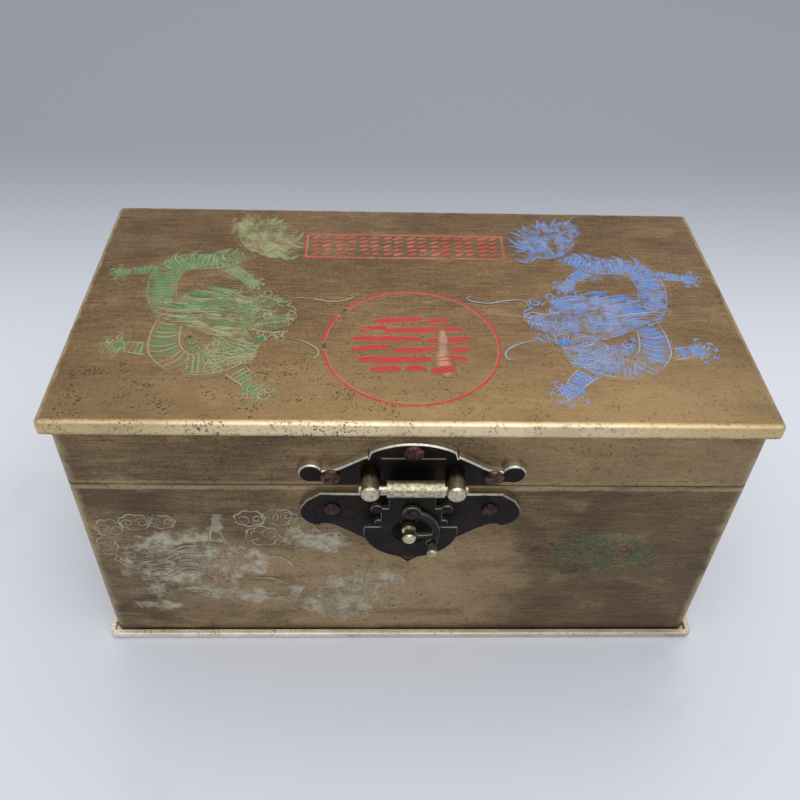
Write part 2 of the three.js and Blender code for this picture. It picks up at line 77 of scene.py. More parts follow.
# Places taken from the frame
LID_LOW, LID_HIGH = node_box("lid_plate")
BASE_HIGH = node_box("base_plate")[1]
BODY_LOW, BODY_HIGH = node_box("body_walls")
LID_WALL_LOW, LID_WALL_HIGH = node_box("lid_walls")
TOP = LID_HIGH[2]
FRONT = BODY_LOW[1]
REAR = BODY_HIGH[1]
SEAM = (BODY_HIGH[2] + LID_WALL_LOW[2]) / 2

# Sheet and roundings, as the frame has them, and the steps of a quarter turn at a corner and a rim
WALL_SHEET = 1.2
PLATE_SHEET = 1.8
RIM_ROUNDING = 1.5
ROUND_STEPS = 10
RIM_STEPS = 8

# A plan is the width, depth and corner radius of a rounded rectangle seen from above
PLATE_PLAN = (*(LID_HIGH - LID_LOW)[:2], 1.8)
WALL_PLAN = (*(BODY_HIGH - BODY_LOW)[:2], 3.0)

# The paint's coat, how near two points are merged, and the angle in degrees from which an edge is sharp
COAT = 0.1
MERGED = 0.002
CREASE = 35


# Shapes

def grid_faces(rows, columns, wrap_rows=False, wrap_columns=False, first=0):
    """Quads of a grid whose point in row r and column c has the number first + r * columns + c."""
    r = np.arange(rows if wrap_rows else rows - 1)[:, None]
    c = np.arange(columns if wrap_columns else columns - 1)[None, :]
    below, above = (r % rows) * columns, ((r + 1) % rows) * columns
    left, right = c % columns, (c + 1) % columns
    corners = (below + left, below + right, above + right, above + left)
    return first + np.stack(np.broadcast_arrays(*corners), -1).reshape(-1, 4)


def add_mesh(name, points, faces):
    """A closed or open mesh from points in millimetres, its doubles merged."""
    mesh = bpy.data.meshes.new(name)
    mesh.from_pydata((np.asarray(points) * MM).tolist(), [], [list(map(int, face)) for face in faces])
    shape = bmesh.new()
    shape.from_mesh(mesh)
    bmesh.ops.remove_doubles(shape, verts=shape.verts, dist=MERGED * MM)
    shape.to_mesh(mesh)
    shape.free()
    return finished(name, mesh)


def finished(name, mesh, crease=CREASE):
    """The object of a mesh, shaded smooth up to the crease angle in degrees."""
    mesh.shade_smooth()
    mesh.set_sharp_from_angle(angle=np.radians(crease))
    piece = bpy.data.objects.new(name, mesh)
    bpy.context.scene.collection.objects.link(piece)
    return piece


def rounded_ring(plan, inset, height):
    """A level rounded rectangle, anticlockwise: each quarter is its middle + r (cos a, sin a), moved in."""
    width, depth, radius = plan
    r = max(radius - inset, 0.2)
    angle = np.linspace(0, np.pi / 2, ROUND_STEPS + 1)[None, :] + np.arange(4)[:, None] * np.pi / 2
    side = np.array([[1, 1], [-1, 1], [-1, -1], [1, -1]])
    middle = side * (np.array([width, depth]) / 2 - inset - r)
    round_part = r * np.stack([np.cos(angle), np.sin(angle)], -1)
    outline = (middle[:, None, :] + round_part).reshape(-1, 2)
    return np.column_stack([outline, np.full(len(outline), height)])


def loft(name, rings, endless=False):
    """Rings of equally many points joined into one closed surface, with two caps or the ends joined."""
    rings = np.array(rings)
    count, size = rings.shape[:2]
    faces = list(grid_faces(count, size, wrap_rows=endless, wrap_columns=True))
    if not endless:
        faces += [np.arange(size)[::-1], (count - 1) * size + np.arange(size)]
    return add_mesh(name, rings.reshape(-1, 3), faces)


def pressed_plate(name, face, rim_end):
    """A plate with a turned rim: inset R (1 - cos a) and height R (1 - sin a) follow a quarter circle.

    The face is the flat outside and rim_end the free edge of the rim, below the face or above it.
    """
    into = np.sign(rim_end - face)
    angle = np.linspace(0, np.pi / 2, RIM_STEPS + 1)[::-1]
    inset, down = RIM_ROUNDING * (1 - np.cos(angle)), RIM_ROUNDING * (1 - np.sin(angle))
    lip = 0.3
    profile = [
        *zip(inset, face + into * down),
        (0.0, rim_end - into * lip),
        (lip, rim_end),
        (PLATE_SHEET - lip, rim_end),
        (PLATE_SHEET, rim_end - into * lip),
        (PLATE_SHEET, face + into * PLATE_SHEET),
    ]
    rings = [rounded_ring(PLATE_PLAN, *point) for point in profile]
    return loft(name, rings if into > 0 else rings[::-1])


def wall_band(name, low, high):
    """Four walls in one endless loft of eight rings, the edges of the sheet broken by a small chamfer."""
    chamfer = 0.25
    profile = [
        (WALL_SHEET, low + chamfer),
        (WALL_SHEET - chamfer, low),
        (chamfer, low),
        (0.0, low + chamfer),
        (0.0, high - chamfer),
        (chamfer, high),
        (WALL_SHEET - chamfer, high),
        (WALL_SHEET, high - chamfer),
    ]
    return loft(name, [rounded_ring(WALL_PLAN, *point) for point in profile], endless=True)


def turned(name, profile, middle, along, steps=40):
    """A round piece: the point at radius r and length l is middle + r (u cos a + v sin a) + l axis."""
    along = np.array(along, float)
    u = np.cross(along, UP if abs(along[2]) < 0.9 else [1.0, 0.0, 0.0])
    v = np.cross(along, u)
    radius, length = np.array(profile, float).T
    angle = np.linspace(0, 2 * np.pi, steps, endpoint=False)
    around = np.cos(angle)[:, None] * u + np.sin(angle)[:, None] * v
    points = np.array(middle) + radius[:, None, None] * around + length[:, None, None] * along
    return add_mesh(name, points.reshape(-1, 3), grid_faces(len(profile), steps, wrap_columns=True))


def worn_copy(name, node, bevel):
    """The node's own shape with its doubles merged and its edges rounded by a bevel."""
    mesh = frame["nodes"][node].data.copy()
    mesh.name = name
    mesh.materials.clear()
    shape = bmesh.new()
    shape.from_mesh(mesh)
    bmesh.ops.remove_doubles(shape, verts=shape.verts, dist=MERGED * MM)
    bmesh.ops.dissolve_limit(shape, angle_limit=np.radians(1), verts=shape.verts, edges=shape.edges)
    shape.to_mesh(mesh)
    shape.free()
    piece = finished(name, mesh)
    rounding = piece.modifiers.new("worn edges", "BEVEL")
    rounding.width = bevel * MM
    rounding.segments = 2
    rounding.limit_method = "ANGLE"
    rounding.angle_limit = np.radians(CREASE)
    rounding.harden_normals = True
    return piece


# Materials

def linear(hex_colour):
    """An sRGB hex colour as linear RGBA: c / 12.92 up to 0.04045, and ((c + 0.055) / 1.055) ** 2.4 above."""
    channel = np.array([int(hex_colour[i : i + 2], 16) for i in (1, 3, 5)]) / 255
    light = np.where(channel <= 0.04045, channel / 12.92, ((channel + 0.055) / 1.055) ** 2.4)
    return (*light.tolist(), 1.0)


def per(size):
    """How many cells of a pattern fit in a metre when one cell is that many millimetres."""
    return 1 / (size * MM)


def add_node(tree, kind, into=None, stops=None, **settings):
    """Adds a shader node. Into gives its inputs a number, a hex colour or another node's output."""
    made = tree.nodes.new("ShaderNode" + kind)
    for setting, value in settings.items():
        setattr(made, setting, value)
    for position, colour in stops or []:
        made.color_ramp.elements.new(position).color = linear(colour)
    if stops:
        made.color_ramp.elements.remove(made.color_ramp.elements[0])
        made.color_ramp.elements.remove(made.color_ramp.elements[-1])
    for socket, value in (into or {}).items():
        if isinstance(value, bpy.types.NodeSocket):
            tree.links.new(value, made.inputs[socket])
        else:
            made.inputs[socket].default_value = linear(value) if isinstance(value, str) else value
    return made


def new_material(name):
    """A material's node tree with only its output left, and the object's own coordinates."""
    material = bpy.data.materials.new(name)
    material.use_nodes = True
    tree = material.node_tree
    tree.nodes.clear()
    output = tree.nodes.new("ShaderNodeOutputMaterial")
    add = partial(add_node, tree)
    place = add("TexCoord").outputs["Object"]
    return material, add, place, output.inputs["Surface"]


def noise(add, place, size, detail, roughness=0.5, distortion=0.0):
    """Fractal noise about a half, its cells some millimetres wide."""
    settings = {"Scale": per(size), "Detail": detail, "Roughness": roughness, "Distortion": distortion}
    return add("TexNoise", {"Vector": place, **settings}).outputs["Fac"]


def spread(add, value, low, high, start=0.0, end=1.0):
    """A value between low and high spread over start to end, and held beyond them."""
    ends = {"From Min": low, "From Max": high, "To Min": start, "To Max": end}
    return add("MapRange", {"Value": value, **ends}).outputs[0]


def ramp(add, value, *stops):
    """Colours at positions from 0 to 1, even between them."""
    return add("ValToRGB", {0: value}, stops=stops).outputs[0]


def mixed(add, share, one, other, blend="MIX"):
    """One colour with a share of the other."""
    return add("Mix", {0: share, 6: one, 7: other}, data_type="RGBA", blend_type=blend).outputs[2]


def maths(add, operation, *values):
    """The result of one operation on numbers and outputs."""
    return add("Math", dict(enumerate(values)), operation=operation).outputs[0]


def region(add, place, bands, ragged=0.0):
    """A mask, the product of bands. A band rises from 0 at start to 1 at full along an axis.

    Its axis is x, y or z, or |x|, |y| or |z| for both sides at once, and ragged is in millimetres.
    """
    shift = maths(add, "SUBTRACT", noise(add, place, 5, 5.0), 0.5)
    shift = maths(add, "MULTIPLY", shift, 2 * ragged * MM)
    axes = add("SeparateXYZ", {0: place})
    mask = None
    for axis, start, full in bands:
        along = axes.outputs[axis.strip("|").upper()]
        if axis.startswith("|"):
            along = maths(add, "ABSOLUTE", along)
        if ragged:
            along = maths(add, "ADD", along, shift)
        band = add(
            "MapRange",
            {"Value": along, "From Min": start * MM, "From Max": full * MM},
            interpolation_type="SMOOTHSTEP",
        ).outputs[0]
        mask = band if mask is None else maths(add, "MULTIPLY", mask, band)
    return mask


def top_pits(add, place):
    """Pits crowd along the front edge of the lid, most at its left, and thin out towards the back."""
    return region(add, place, [("y", 20.0, -44.0), ("x", 150.0, -60.0)], 6.0)


def few_pits(add, place):
    """Pits on the walls are few, and most are at the left."""
    return region(add, place, [("x", 240.0, -90.0)], 8.0)


def over(add, under, colour, mask, strength=1.0):
    """A colour laid over another where a mask is, as strong as it says."""
    factor = add("Math", {0: mask, 1: strength}, operation="MULTIPLY", use_clamp=True).outputs[0]
    return mixed(add, factor, under, colour)


def smears(add, place, colour, brushed, strength):
    """Wiped tarnish laid over a colour: dark and pale smears some 25 mm long and 8 mm high."""
    wiped = add("Mapping", {"Vector": place, "Scale": [min(3.0, side) for side in brushed]}).outputs[0]
    wiped = noise(add, wiped, 26, 6.0, 0.66, 0.5)
    colour = over(add, colour, "#43342a", spread(add, wiped, 0.52, 0.7), strength)
    return over(add, colour, "#b8a07a", spread(add, wiped, 0.46, 0.32), 0.7 * strength)


def specks_and_pits(add, place, colour, pit_region, pit_share):
    """Specks of about 0.5 mm, and pits of up to 1 mm where the tarnish has eaten in, both in swarms.

    Returns the colour with them and the mask of the pits.
    """
    swarm = noise(add, place, 7, 7.0, 0.8)
    speck = spread(add, noise(add, place, 0.9, 3.0, 0.6), 0.56, 0.66)
    speck = maths(add, "MULTIPLY", speck, spread(add, swarm, 0.36, 0.56))
    colour = over(add, colour, "#44321f", speck, 0.62)

    spots = add("TexVoronoi", {"Vector": place, "Scale": per(0.9), "Randomness": 1.0}).outputs["Distance"]
    dense = maths(add, "MULTIPLY", spread(add, swarm, 0.4, 0.66), pit_region(add, place))
    reach = maths(add, "MULTIPLY", dense, pit_share)
    pit = spread(add, maths(add, "SUBTRACT", reach, spots), 0.0, 0.12)
    return over(add, colour, "#43301f", pit, 0.66), pit


def tarnished_sheet(add, place, tones, marks_and_painted_light, brushed, pit_region=few_pits, pit_share=0.4, smeared=0.55):
    """Rolled brass sheet, lacquered once and tarnished since: brown clouds, brushing, grain and pits, with
    bands of wear and of painted light and shade.

    Returns its colour, its roughness and the height of its relief.
    """
    clouds = noise(add, place, 42, 4.0, 0.55)
    patches = noise(add, place, 13, 7.0, 0.62, 0.5)
    tarnish = maths(add, "MULTIPLY_ADD", clouds, 0.55, 0.0)
    tarnish = maths(add, "MULTIPLY_ADD", patches, 0.45, tarnish)
    colour = ramp(add, tarnish, *zip((0.32, 0.45, 0.55, 0.7), tones))

    # Brushing shows as fine lines, drawn 0.4 to 0.7 mm wide so that they can be seen
    lines = add("Mapping", {"Vector": place, "Scale": brushed}).outputs[0]
    brushing = noise(add, lines, 9, 5.0, 0.6)
    grain = noise(add, place, 0.7, 3.0, 0.7)
    for texture, low, high in ((brushing, "#7c7c7c", "#e6e6e6"), (grain, "#8a8682", "#e8e8e8")):
        colour = mixed(add, 0.7, colour, ramp(add, texture, (0.3, low), (0.7, high)), "SOFT_LIGHT")

    # The bands lay wear, dark seams and painted light and shade on the sheet
    for bands, ragged, band_colour, strength in marks_and_painted_light:
        colour = over(add, colour, band_colour, region(add, place, bands, ragged), strength)
    colour = smears(add, place, colour, brushed, smeared)
    colour, pit = specks_and_pits(add, place, colour, pit_region, pit_share)

    rough = maths(add, "MULTIPLY_ADD", pit, 0.25, spread(add, patches, 0.35, 0.65, 0.36, 0.5))
    height = maths(add, "MULTIPLY_ADD", brushing, 0.5, 0.0)
    height = maths(add, "MULTIPLY_ADD", grain, 0.35, height)
    height = maths(add, "MULTIPLY_ADD", pit, -1.2, height)
    return colour, rough, height


def metal(add, surface, colour, rough, height, depth, metallic=1.0):
    """The metal shader with a relief of some millimetres' depth."""
    normal = add("Bump", {"Height": height, "Strength": 0.6, "Distance": depth * MM}).outputs[0]
    settings = {"Base Color": colour, "Roughness": rough, "Metallic": metallic, "Normal": normal}
    shader = add("BsdfPrincipled", settings)
    surface.node.id_data.links.new(shader.outputs[0], surface)


ALONG_LENGTH = (1.0, 13.0, 13.0)
ROUND_WALLS = (1.0, 1.0, 22.0)

# Marks on the sheet, painted light and shade among them: bands of a place, how ragged, colour and strength
TOP_TONES = ("#5f4a32", "#6d563b", "#7a6244", "#8a7151")
TOP_WEAR_AND_PAINTED_LIGHT = [
    # Painted highlight: the lid lighter towards its front
    ([("y", 0.0, -50.0)], 4.0, "#8f7752", 0.7),
    # Painted highlight: a paler patch at the front right
    ([("y", -10.0, -46.0), ("x", 30.0, 70.0)], 9.0, "#ab9069", 0.5),
    ([("|x|", 93.2, 94.4)], 0.8, "#d9c69a", 0.85),
    ([("|y|", 49.2, 50.4)], 0.8, "#d3bb8b", 0.84),
    # Painted highlight on the middle of the rim's front
    ([("y", -49.2, -50.4), ("|x|", 86.0, 30.0)], 0.8, "#f0deb8", 0.7),
    # Darker towards the rim's lower edge
    ([("z", TOP - 3.2, TOP - 4.4)], 0.6, "#6f5a3c", 0.6),
]
LID_WALL_TONES = ("#5c4a37", "#6d5941", "#7d694c", "#927c5b")
LID_WALL_WEAR_AND_PAINTED_LIGHT = [
    # Painted highlight: the front paler at its right
    ([("x", 0.0, 50.0), ("y", -30.0, -45.0)], 9.0, "#a08862", 0.55),
    ([("|x|", 89.0, 92.6), ("|y|", 45.0, 48.6)], 2.6, "#b39d78", 0.75),
    ([("z", SEAM + 2.4, SEAM + 1.3)], 0.6, "#a58e68", 0.45),
    ([("z", SEAM + 0.9, SEAM + 0.4)], 0.4, "#3d3022", 0.45),
    # Painted shadow under the lid's rim
    ([("z", TOP - 6.8, TOP - 4.9)], 0.8, "#33281c", 0.75),
]
BODY_TONES = ("#5b4934", "#6f5b42", "#836e50", "#998262")
BODY_WEAR_AND_PAINTED_LIGHT = [
    # Painted shade: the front darker at its right
    ([("x", 24.0, 50.0)], 8.0, "#4d3e2d", 0.5),
    # Painted highlight: paler low down, left of the middle
    ([("x", 40.0, 10.0), ("x", -80.0, -45.0), ("z", 64.0, 34.0)], 9.0, "#b09872", 0.7),
    # Painted shade: darker at the upper left
    ([("x", -40.0, -80.0), ("z", 45.0, 66.0)], 9.0, "#46382a", 0.5),
    # Painted shade: darker at the lower left
    ([("x", -66.0, -88.0), ("z", 34.0, 10.0)], 9.0, "#46382a", 0.6),
    ([("|x|", 89.0, 92.6), ("|y|", 45.0, 48.6)], 2.6, "#b6a07a", 0.75),
    ([("z", SEAM - 2.2, SEAM - 1.3)], 0.6, "#b8a27b", 0.6),
    ([("z", SEAM - 0.7, SEAM - 0.3)], 0.3, "#3d3022", 0.6),
    # Darker towards the foot of the wall
    ([("z", 7.5, 3.6)], 1.6, "#4c3d2d", 0.7),
]
# Near white: the rubbed brass, made paler still as a painted highlight
BASE_TONES_WITH_HIGHLIGHT = ("#cdbda2", "#e2d5bd", "#f2e8d6", "#fdf7ec")
BASE_JOINT_AND_PAINTED_SHADE = [
    ([("|x|", 92.6, 91.4), ("|y|", 48.6, 47.4)], 0.3, "#7d6849", 0.97),
    # Painted shade: the base darker towards its right
    ([("x", -40.0, 50.0)], 5.0, "#b3a384", 0.6),
    # Darker towards the bottom edge
    ([("z", 0.9, 0.3)], 0.4, "#8d7a5c", 0.7),
]


LID_SHEET = dict(
    tones=TOP_TONES, marks_and_painted_light=TOP_WEAR_AND_PAINTED_LIGHT, brushed=ALONG_LENGTH, pit_region=top_pits, pit_share=0.6, smeared=0.26
)
LID_WALL_SHEET = dict(tones=LID_WALL_TONES, marks_and_painted_light=LID_WALL_WEAR_AND_PAINTED_LIGHT, brushed=ROUND_WALLS)
BODY_SHEET = dict(tones=BODY_TONES, marks_and_painted_light=BODY_WEAR_AND_PAINTED_LIGHT, brushed=ROUND_WALLS)
BASE_SHEET = dict(tones=BASE_TONES_WITH_HIGHLIGHT, marks_and_painted_light=BASE_JOINT_AND_PAINTED_SHADE, brushed=ALONG_LENGTH, pit_share=0.3, smeared=0.3)
HINGE_SHEET = dict(tones=LID_WALL_TONES, marks_and_painted_light=[], brushed=ALONG_LENGTH)


def brass_material(name, sheet, metallic=0.85):
    """Tarnished brass sheet: brown and satin, with pale rubbed edges, painted light and shade, and a fine
    brushing.
    """
    material, add, place, surface = new_material(name)
    colour, rough, height = tarnished_sheet(add, place, **sheet)
    metal(add, surface, colour, rough, height, 0.05, metallic)
    return material


def worn_paint(name, palette, sheet):
    """Enamel rubbed into an engraving, matt and chipped: where its cover has gone, the brass shows."""
    material, add, place, surface = new_material(name)
    brass, brass_rough, brass_height = tarnished_sheet(add, place, **sheet)
    tone = add("Attribute", attribute_name="tone").outputs["Fac"]
    cover = add("Attribute", attribute_name="cover").outputs["Fac"]
    drift = maths(add, "SUBTRACT", noise(add, place, 16, 3.0), 0.5)
    shade = maths(add, "MULTIPLY_ADD", drift, 0.7, tone)
    paint = ramp(add, shade, *zip((0.06, 0.26, 0.62, 0.98), palette))

    # What is left of it falls with fine chips, and with faded patches of some 6 mm
    chips = maths(add, "MULTIPLY_ADD", noise(add, place, 3, 8.0, 0.72), -1.7, 0.35)
    faded = maths(add, "SUBTRACT", noise(add, place, 6, 6.0, 0.65), 0.5)
    left = maths(add, "MULTIPLY_ADD", faded, -1.9, maths(add, "ADD", cover, chips))
    left = spread(add, left, -0.26, 0.4, 0.0, 0.92)
    colour = mixed(add, left, brass, paint)
    rough = maths(add, "MULTIPLY_ADD", left, 0.16, brass_rough)
    metal(add, surface, colour, rough, brass_height, 0.05, spread(add, left, 0.0, 1.0, 0.85, 0.1))
    return material


def blackened_casting(name, dark, mottled, worn, edge_bands, polished=(), lines=()):
    """Cast bronze, blackened in a bath: near black and slightly pebbled, rubbed bright along its edges.

    Polished gives bands that are rubbed down to the nickel, and lines gives raised lines, half rubbed.
    """
    material, add, place, surface = new_material(name)
    pebbles = noise(add, place, 1.1, 5.0, 0.65)
    colour = ramp(add, pebbles, (0.35, dark), (0.72, mottled))
    bloom = spread(add, noise(add, place, 6, 4.0), 0.52, 0.75)
    colour = over(add, colour, "#3b2f26", bloom, 0.5)
    for bands in lines:
        colour = over(add, colour, worn, region(add, place, bands, 0.1), 0.45)
    edge = region(add, place, edge_bands, 0.12)
    edge = maths(add, "MULTIPLY", edge, spread(add, pebbles, 0.3, 0.5, 0.55))
    colour = over(add, colour, worn, edge, 0.95)
    if polished:
        bright = region(add, place, polished, 0.15)
        plate = ramp(add, pebbles, (0.36, "#877d62"), (0.64, "#cdc4a8"))
        colour = over(add, colour, plate, bright)
        edge = maths(add, "MAXIMUM", edge, bright)
    metal(add, surface, colour, spread(add, edge, 0.0, 1.0, 0.5, 0.34), pebbles, 0.09, metallic=0.9)
    return material


def rubbed_nickel(name, bright, dull, root_bands=()):
    """Nickel plate over brass, rubbed by use: pale, warm and grainy, and darker in the root bands near the
    wall.
    """
    material, add, place, surface = new_material(name)
    grain = noise(add, place, 0.8, 4.0, 0.7)
    colour = ramp(add, grain, (0.36, dull), (0.6, bright))
    if root_bands:
        # Darker towards the roots
        colour = over(add, colour, "#1d1a15", region(add, place, root_bands, 0.5), 0.9)
    metal(add, surface, colour, spread(add, grain, 0.3, 0.7, 0.42, 0.26), grain, 0.06)
    return material


def copper_rivet(name, pitted, brown, rubbed):
    """Copper rivets, hammered down: reddish brown with darker pits and a soft shine on the dome."""
    material, add, place, surface = new_material(name)
    mottle = noise(add, place, 1.3, 5.0, 0.6)
    colour = ramp(add, mottle, (0.34, pitted), (0.52, brown), (0.7, rubbed))
    metal(add, surface, colour, spread(add, mottle, 0.0, 1.0, 0.5, 0.3), mottle, 0.12, metallic=0.9)
    return material


def piece(made, body, slot, material, *nodes):
    """Gives a piece its material and its body, and hides the nodes that it stands for; its slot is not used.
    """
    made.data.materials.append(material)
    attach(made, body)
    if nodes:
        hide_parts(*nodes)
    return made


# Painted engravings. A stroke is a grid of rows along it and columns across it, each point being
# (across, up, height, tone, cover) on its face. Tone runs from a dark scratch over a pale one to thin and
# full paint, and cover from bare metal to a whole coat. A bare scratch is drawn as a groove lit from one
# side: a painted shadow along one edge and a painted highlight over the rest, while the pale tone at a
# painted line's edge is faded paint. Each stroke lies a little above the ones before it.

SHADED_GROOVE, PALE, THIN, FULL = 0.0, 0.3, 0.65, 1.0


def smooth_curve(points, steps=5, closed=False):
    """Catmull-Rom between b and c: (2b + (c-a) t + (2a-5b+4c-d) t^2 + (3b-a-3c+d) t^3) / 2."""
    p = np.asarray(points, float).reshape(len(points), -1)
    if closed:
        a, b, c, d = np.roll(p, 1, 0), p, np.roll(p, -1, 0), np.roll(p, -2, 0)
    else:
        ends = np.vstack([2 * p[0] - p[1], p, 2 * p[-1] - p[-2]])
        a, b, c, d = ends[:-3], ends[1:-2], ends[2:-1], ends[3:]
    t = np.linspace(0, 1, steps, endpoint=False)[None, :, None]
    a, b, c, d = (q[:, None, :] for q in (a, b, c, d))
    curve = (2 * b + (c - a) * t + (2 * a - 5 * b + 4 * c - d) * t**2 + (3 * b - a - 3 * c + d) * t**3) / 2
    curve = curve.reshape(-1, p.shape[1])
    return curve if closed else np.vstack([curve, p[-1]])


def left_of(path, closed=False):
    """Unit normals on the left of a path of points."""
    along = np.roll(path, -1, 0) - np.roll(path, 1, 0) if closed else np.gradient(path, axis=0)
    along = along / np.maximum(np.linalg.norm(along, axis=1, keepdims=True), 1e-9)
    return np.column_stack([-along[:, 1], along[:, 0]])


def ribbon(path, half, across, height, tone, cover, closed=False):
    """A stroke whose points are path + across * half * left normal, with the rest spread over its grid."""
    reach = np.asarray(across, float)[None, :] * np.reshape(half, (-1, 1))
    flat = path[:, None, :] + reach[..., None] * left_of(path, closed)[:, None, :]
    rest = [np.broadcast_to(values, flat.shape[:2]) for values in (height, tone, cover)]
    return np.concatenate([flat, np.stack(rest, -1)], -1), closed


def stroke(points, width, tone=PALE, cover=0.9, taper=(0.3, 0.3), steps=5, closed=False):
    """A line, crowned across, with one edge paler than its paint, or, where it is a bare scratch, with a
    painted shadow along that edge and a painted highlight over the rest.

    Its width falls to the taper's shares over its first and last third.
    """
    path = smooth_curve(points, steps, closed)
    t = np.linspace(0, 1, len(path))
    swell = 1.0
    if not closed:
        swell = taper[0] + (1 - taper[0]) * np.minimum(1, 3 * t)
        swell = swell * (taper[1] + (1 - taper[1]) * np.minimum(1, 3 * (1 - t)))
    tones = np.broadcast_to(np.reshape(tone, (-1, 1)), (len(path), 3)).copy()
    # The first column: a faded pale edge beside paint, and the painted shadow in a bare scratch's groove
    tones[:, 0] = np.where(tones[:, 0] > PALE, PALE, SHADED_GROOVE)
    return ribbon(path, width / 2 * swell, [1, 0, -1], [0, 0.2, 0], tones, cover, closed)


def wash(spine, half_widths, tone, cover):
    """A soft coat on both sides of a spine, its cover falling as 1 - s^2 with s from -1 to 1 across it."""
    carried = smooth_curve(np.column_stack([spine, half_widths]), 8)
    across = np.linspace(1, -1, 9)
    t = np.linspace(0, 1, len(carried))[:, None]
    ends = np.minimum(1, 0.2 + 5 * np.minimum(t, 1 - t))
    return ribbon(carried[:, :2], carried[:, 2], across, 0.0, tone, cover * ends * (1 - across**2))


def brush(points, width):
    """A broad brush stroke, fat in its middle third, full paint inside and paler along both edges."""
    path = smooth_curve(points)
    t = np.linspace(0.12, 0.92, len(path))
    half = width / 2 * (0.35 + 0.65 * np.sin(np.pi * t) ** 0.8)
    tones = [PALE, FULL, FULL, FULL, PALE]
    return ribbon(path, half, [1, 0.78, 0, -0.78, -1], [0, 0.2, 0.1, 0.2, 0], tones, 0.95)


def spiral(middle, radius, turns, start=0.0, hand=1):
    """Points of a curl: the radius falls evenly to a sixth while the angle runs its turns."""
    share = np.linspace(0, 1, int(8 * turns) + 2)
    angle = start + hand * 2 * np.pi * turns * share
    r = radius * (1 - 0.84 * share)
    return np.array(middle) + np.column_stack([r * np.cos(angle), r * np.sin(angle)])


def ring_points(middle, radius, count):
    """Evenly spaced points of a circle."""
    angle = np.linspace(0, 2 * np.pi, count, endpoint=False)
    return np.array(middle) + radius * np.column_stack([np.cos(angle), np.sin(angle)])


def painting(name, strokes, face, material, body):
    """All strokes of a picture as one mesh on the lid's top or the front wall, every face turned outwards.

    Each stroke's height is raised by its number's share of the coat, so that it lies over those before it.
    """
    points, faces, first = [], [], 0
    for number, (grid, closed) in enumerate(strokes):
        rows, columns = grid.shape[:2]
        lift = 0.1 + 0.7 * number / len(strokes)
        points.append(grid.reshape(-1, 5) + [0, 0, lift, 0, 0])
        faces.append(grid_faces(rows, columns, wrap_rows=closed, first=first))
        first += rows * columns
    points, faces = np.vstack(points), np.vstack(faces)
    corners = points[faces][..., :2]
    one, other = corners[:, 2] - corners[:, 0], corners[:, 3] - corners[:, 1]
    turned_away = one[:, 0] * other[:, 1] < one[:, 1] * other[:, 0]
    faces[turned_away] = faces[turned_away, ::-1]
    height = COAT * points[:, 2]
    if face == "top":
        place = np.column_stack([points[:, :2], TOP - COAT + height])
    else:
        place = np.column_stack([points[:, 0], FRONT - height, points[:, 1]])
    mesh = bpy.data.meshes.new(name)
    mesh.from_pydata((place * MM).tolist(), [], faces.tolist())
    for attribute, values in (("tone", points[:, 3]), ("cover", points[:, 4])):
        mesh.attributes.new(attribute, "FLOAT", "POINT").data.foreach_set("value", values.astype(np.float32))
    return piece(finished(name, mesh, 60), body, "aged_brass", material)


def mirrored(strokes, flip):
    """The strokes on the other side when flip is -1, their columns turned round to face out still."""
    if flip > 0:
        return strokes
    return [(grid[:, ::-1] * np.array([-1, 1, 1, 1, 1]), closed) for grid, closed in strokes]


def resampled(points, spacing):
    """A curve's points at even distances along it, with their left normals."""
    path = smooth_curve(points, 12)
    run = np.concatenate([[0], np.cumsum(np.linalg.norm(np.diff(path[:, :2], axis=0), axis=1))])
    even = np.arange(spacing / 2, run[-1], spacing)
    there = np.column_stack([np.interp(even, run, column) for column in path.T])
    return there, left_of(there[:, :2])


def scribble(chance, middle, reach, count, size, tones, cover=0.6):
    """Curls and bent dashes strewn over an ellipse, for engraving too fine or too worn to follow."""
    strokes = []
    for k in range(count):
        angle, share = chance.uniform(0, 2 * np.pi), np.sqrt(chance.random())
        at = np.array(middle) + share * np.array(reach) * [np.cos(angle), np.sin(angle)]
        tone, width = chance.choice(tones), chance.uniform(0.25, 0.5)
        if k % 3:
            run, bow = chance.uniform(-size, size, 2), chance.uniform(-0.3, 0.3, 2) * size
            strokes.append(stroke([at - run / 2, at + bow, at + run / 2], width, tone, cover))
        else:
            curl = spiral(at, 0.45 * size * chance.uniform(0.5, 1.0), 1.3, angle, chance.choice([-1, 1]))
            strokes.append(stroke(curl, width, tone, cover, steps=3))
    return strokes


def hair(chance, roots, tips, count, tones, widths=(0.28, 0.7), sway=1.2, cover=0.8):
    """Waving hairs from points spread along one line to points spread along another."""
    share = np.linspace(0, 1, count)
    starts, ends = (
        np.column_stack([np.interp(share, np.linspace(0, 1, len(line)), x) for x in np.transpose(line)])
        for line in (roots, tips)
    )
    strokes = []
    for start, end in zip(starts, ends + chance.uniform(-1.2, 1.2, (count, 2))):
        run = end - start
        side = np.array([-run[1], run[0]]) / max(np.linalg.norm(run), 1)
        bend = sway * chance.uniform(0.4, 1.2) * chance.choice([-1, 1])
        middle = [start + 0.33 * run + bend * side, start + 0.7 * run - 0.8 * bend * side]
        line = [start, *middle, end]
        strokes.append(stroke(line, chance.uniform(*widths), chance.choice(tones), cover, taper=(0.7, 0.1)))
    return strokes


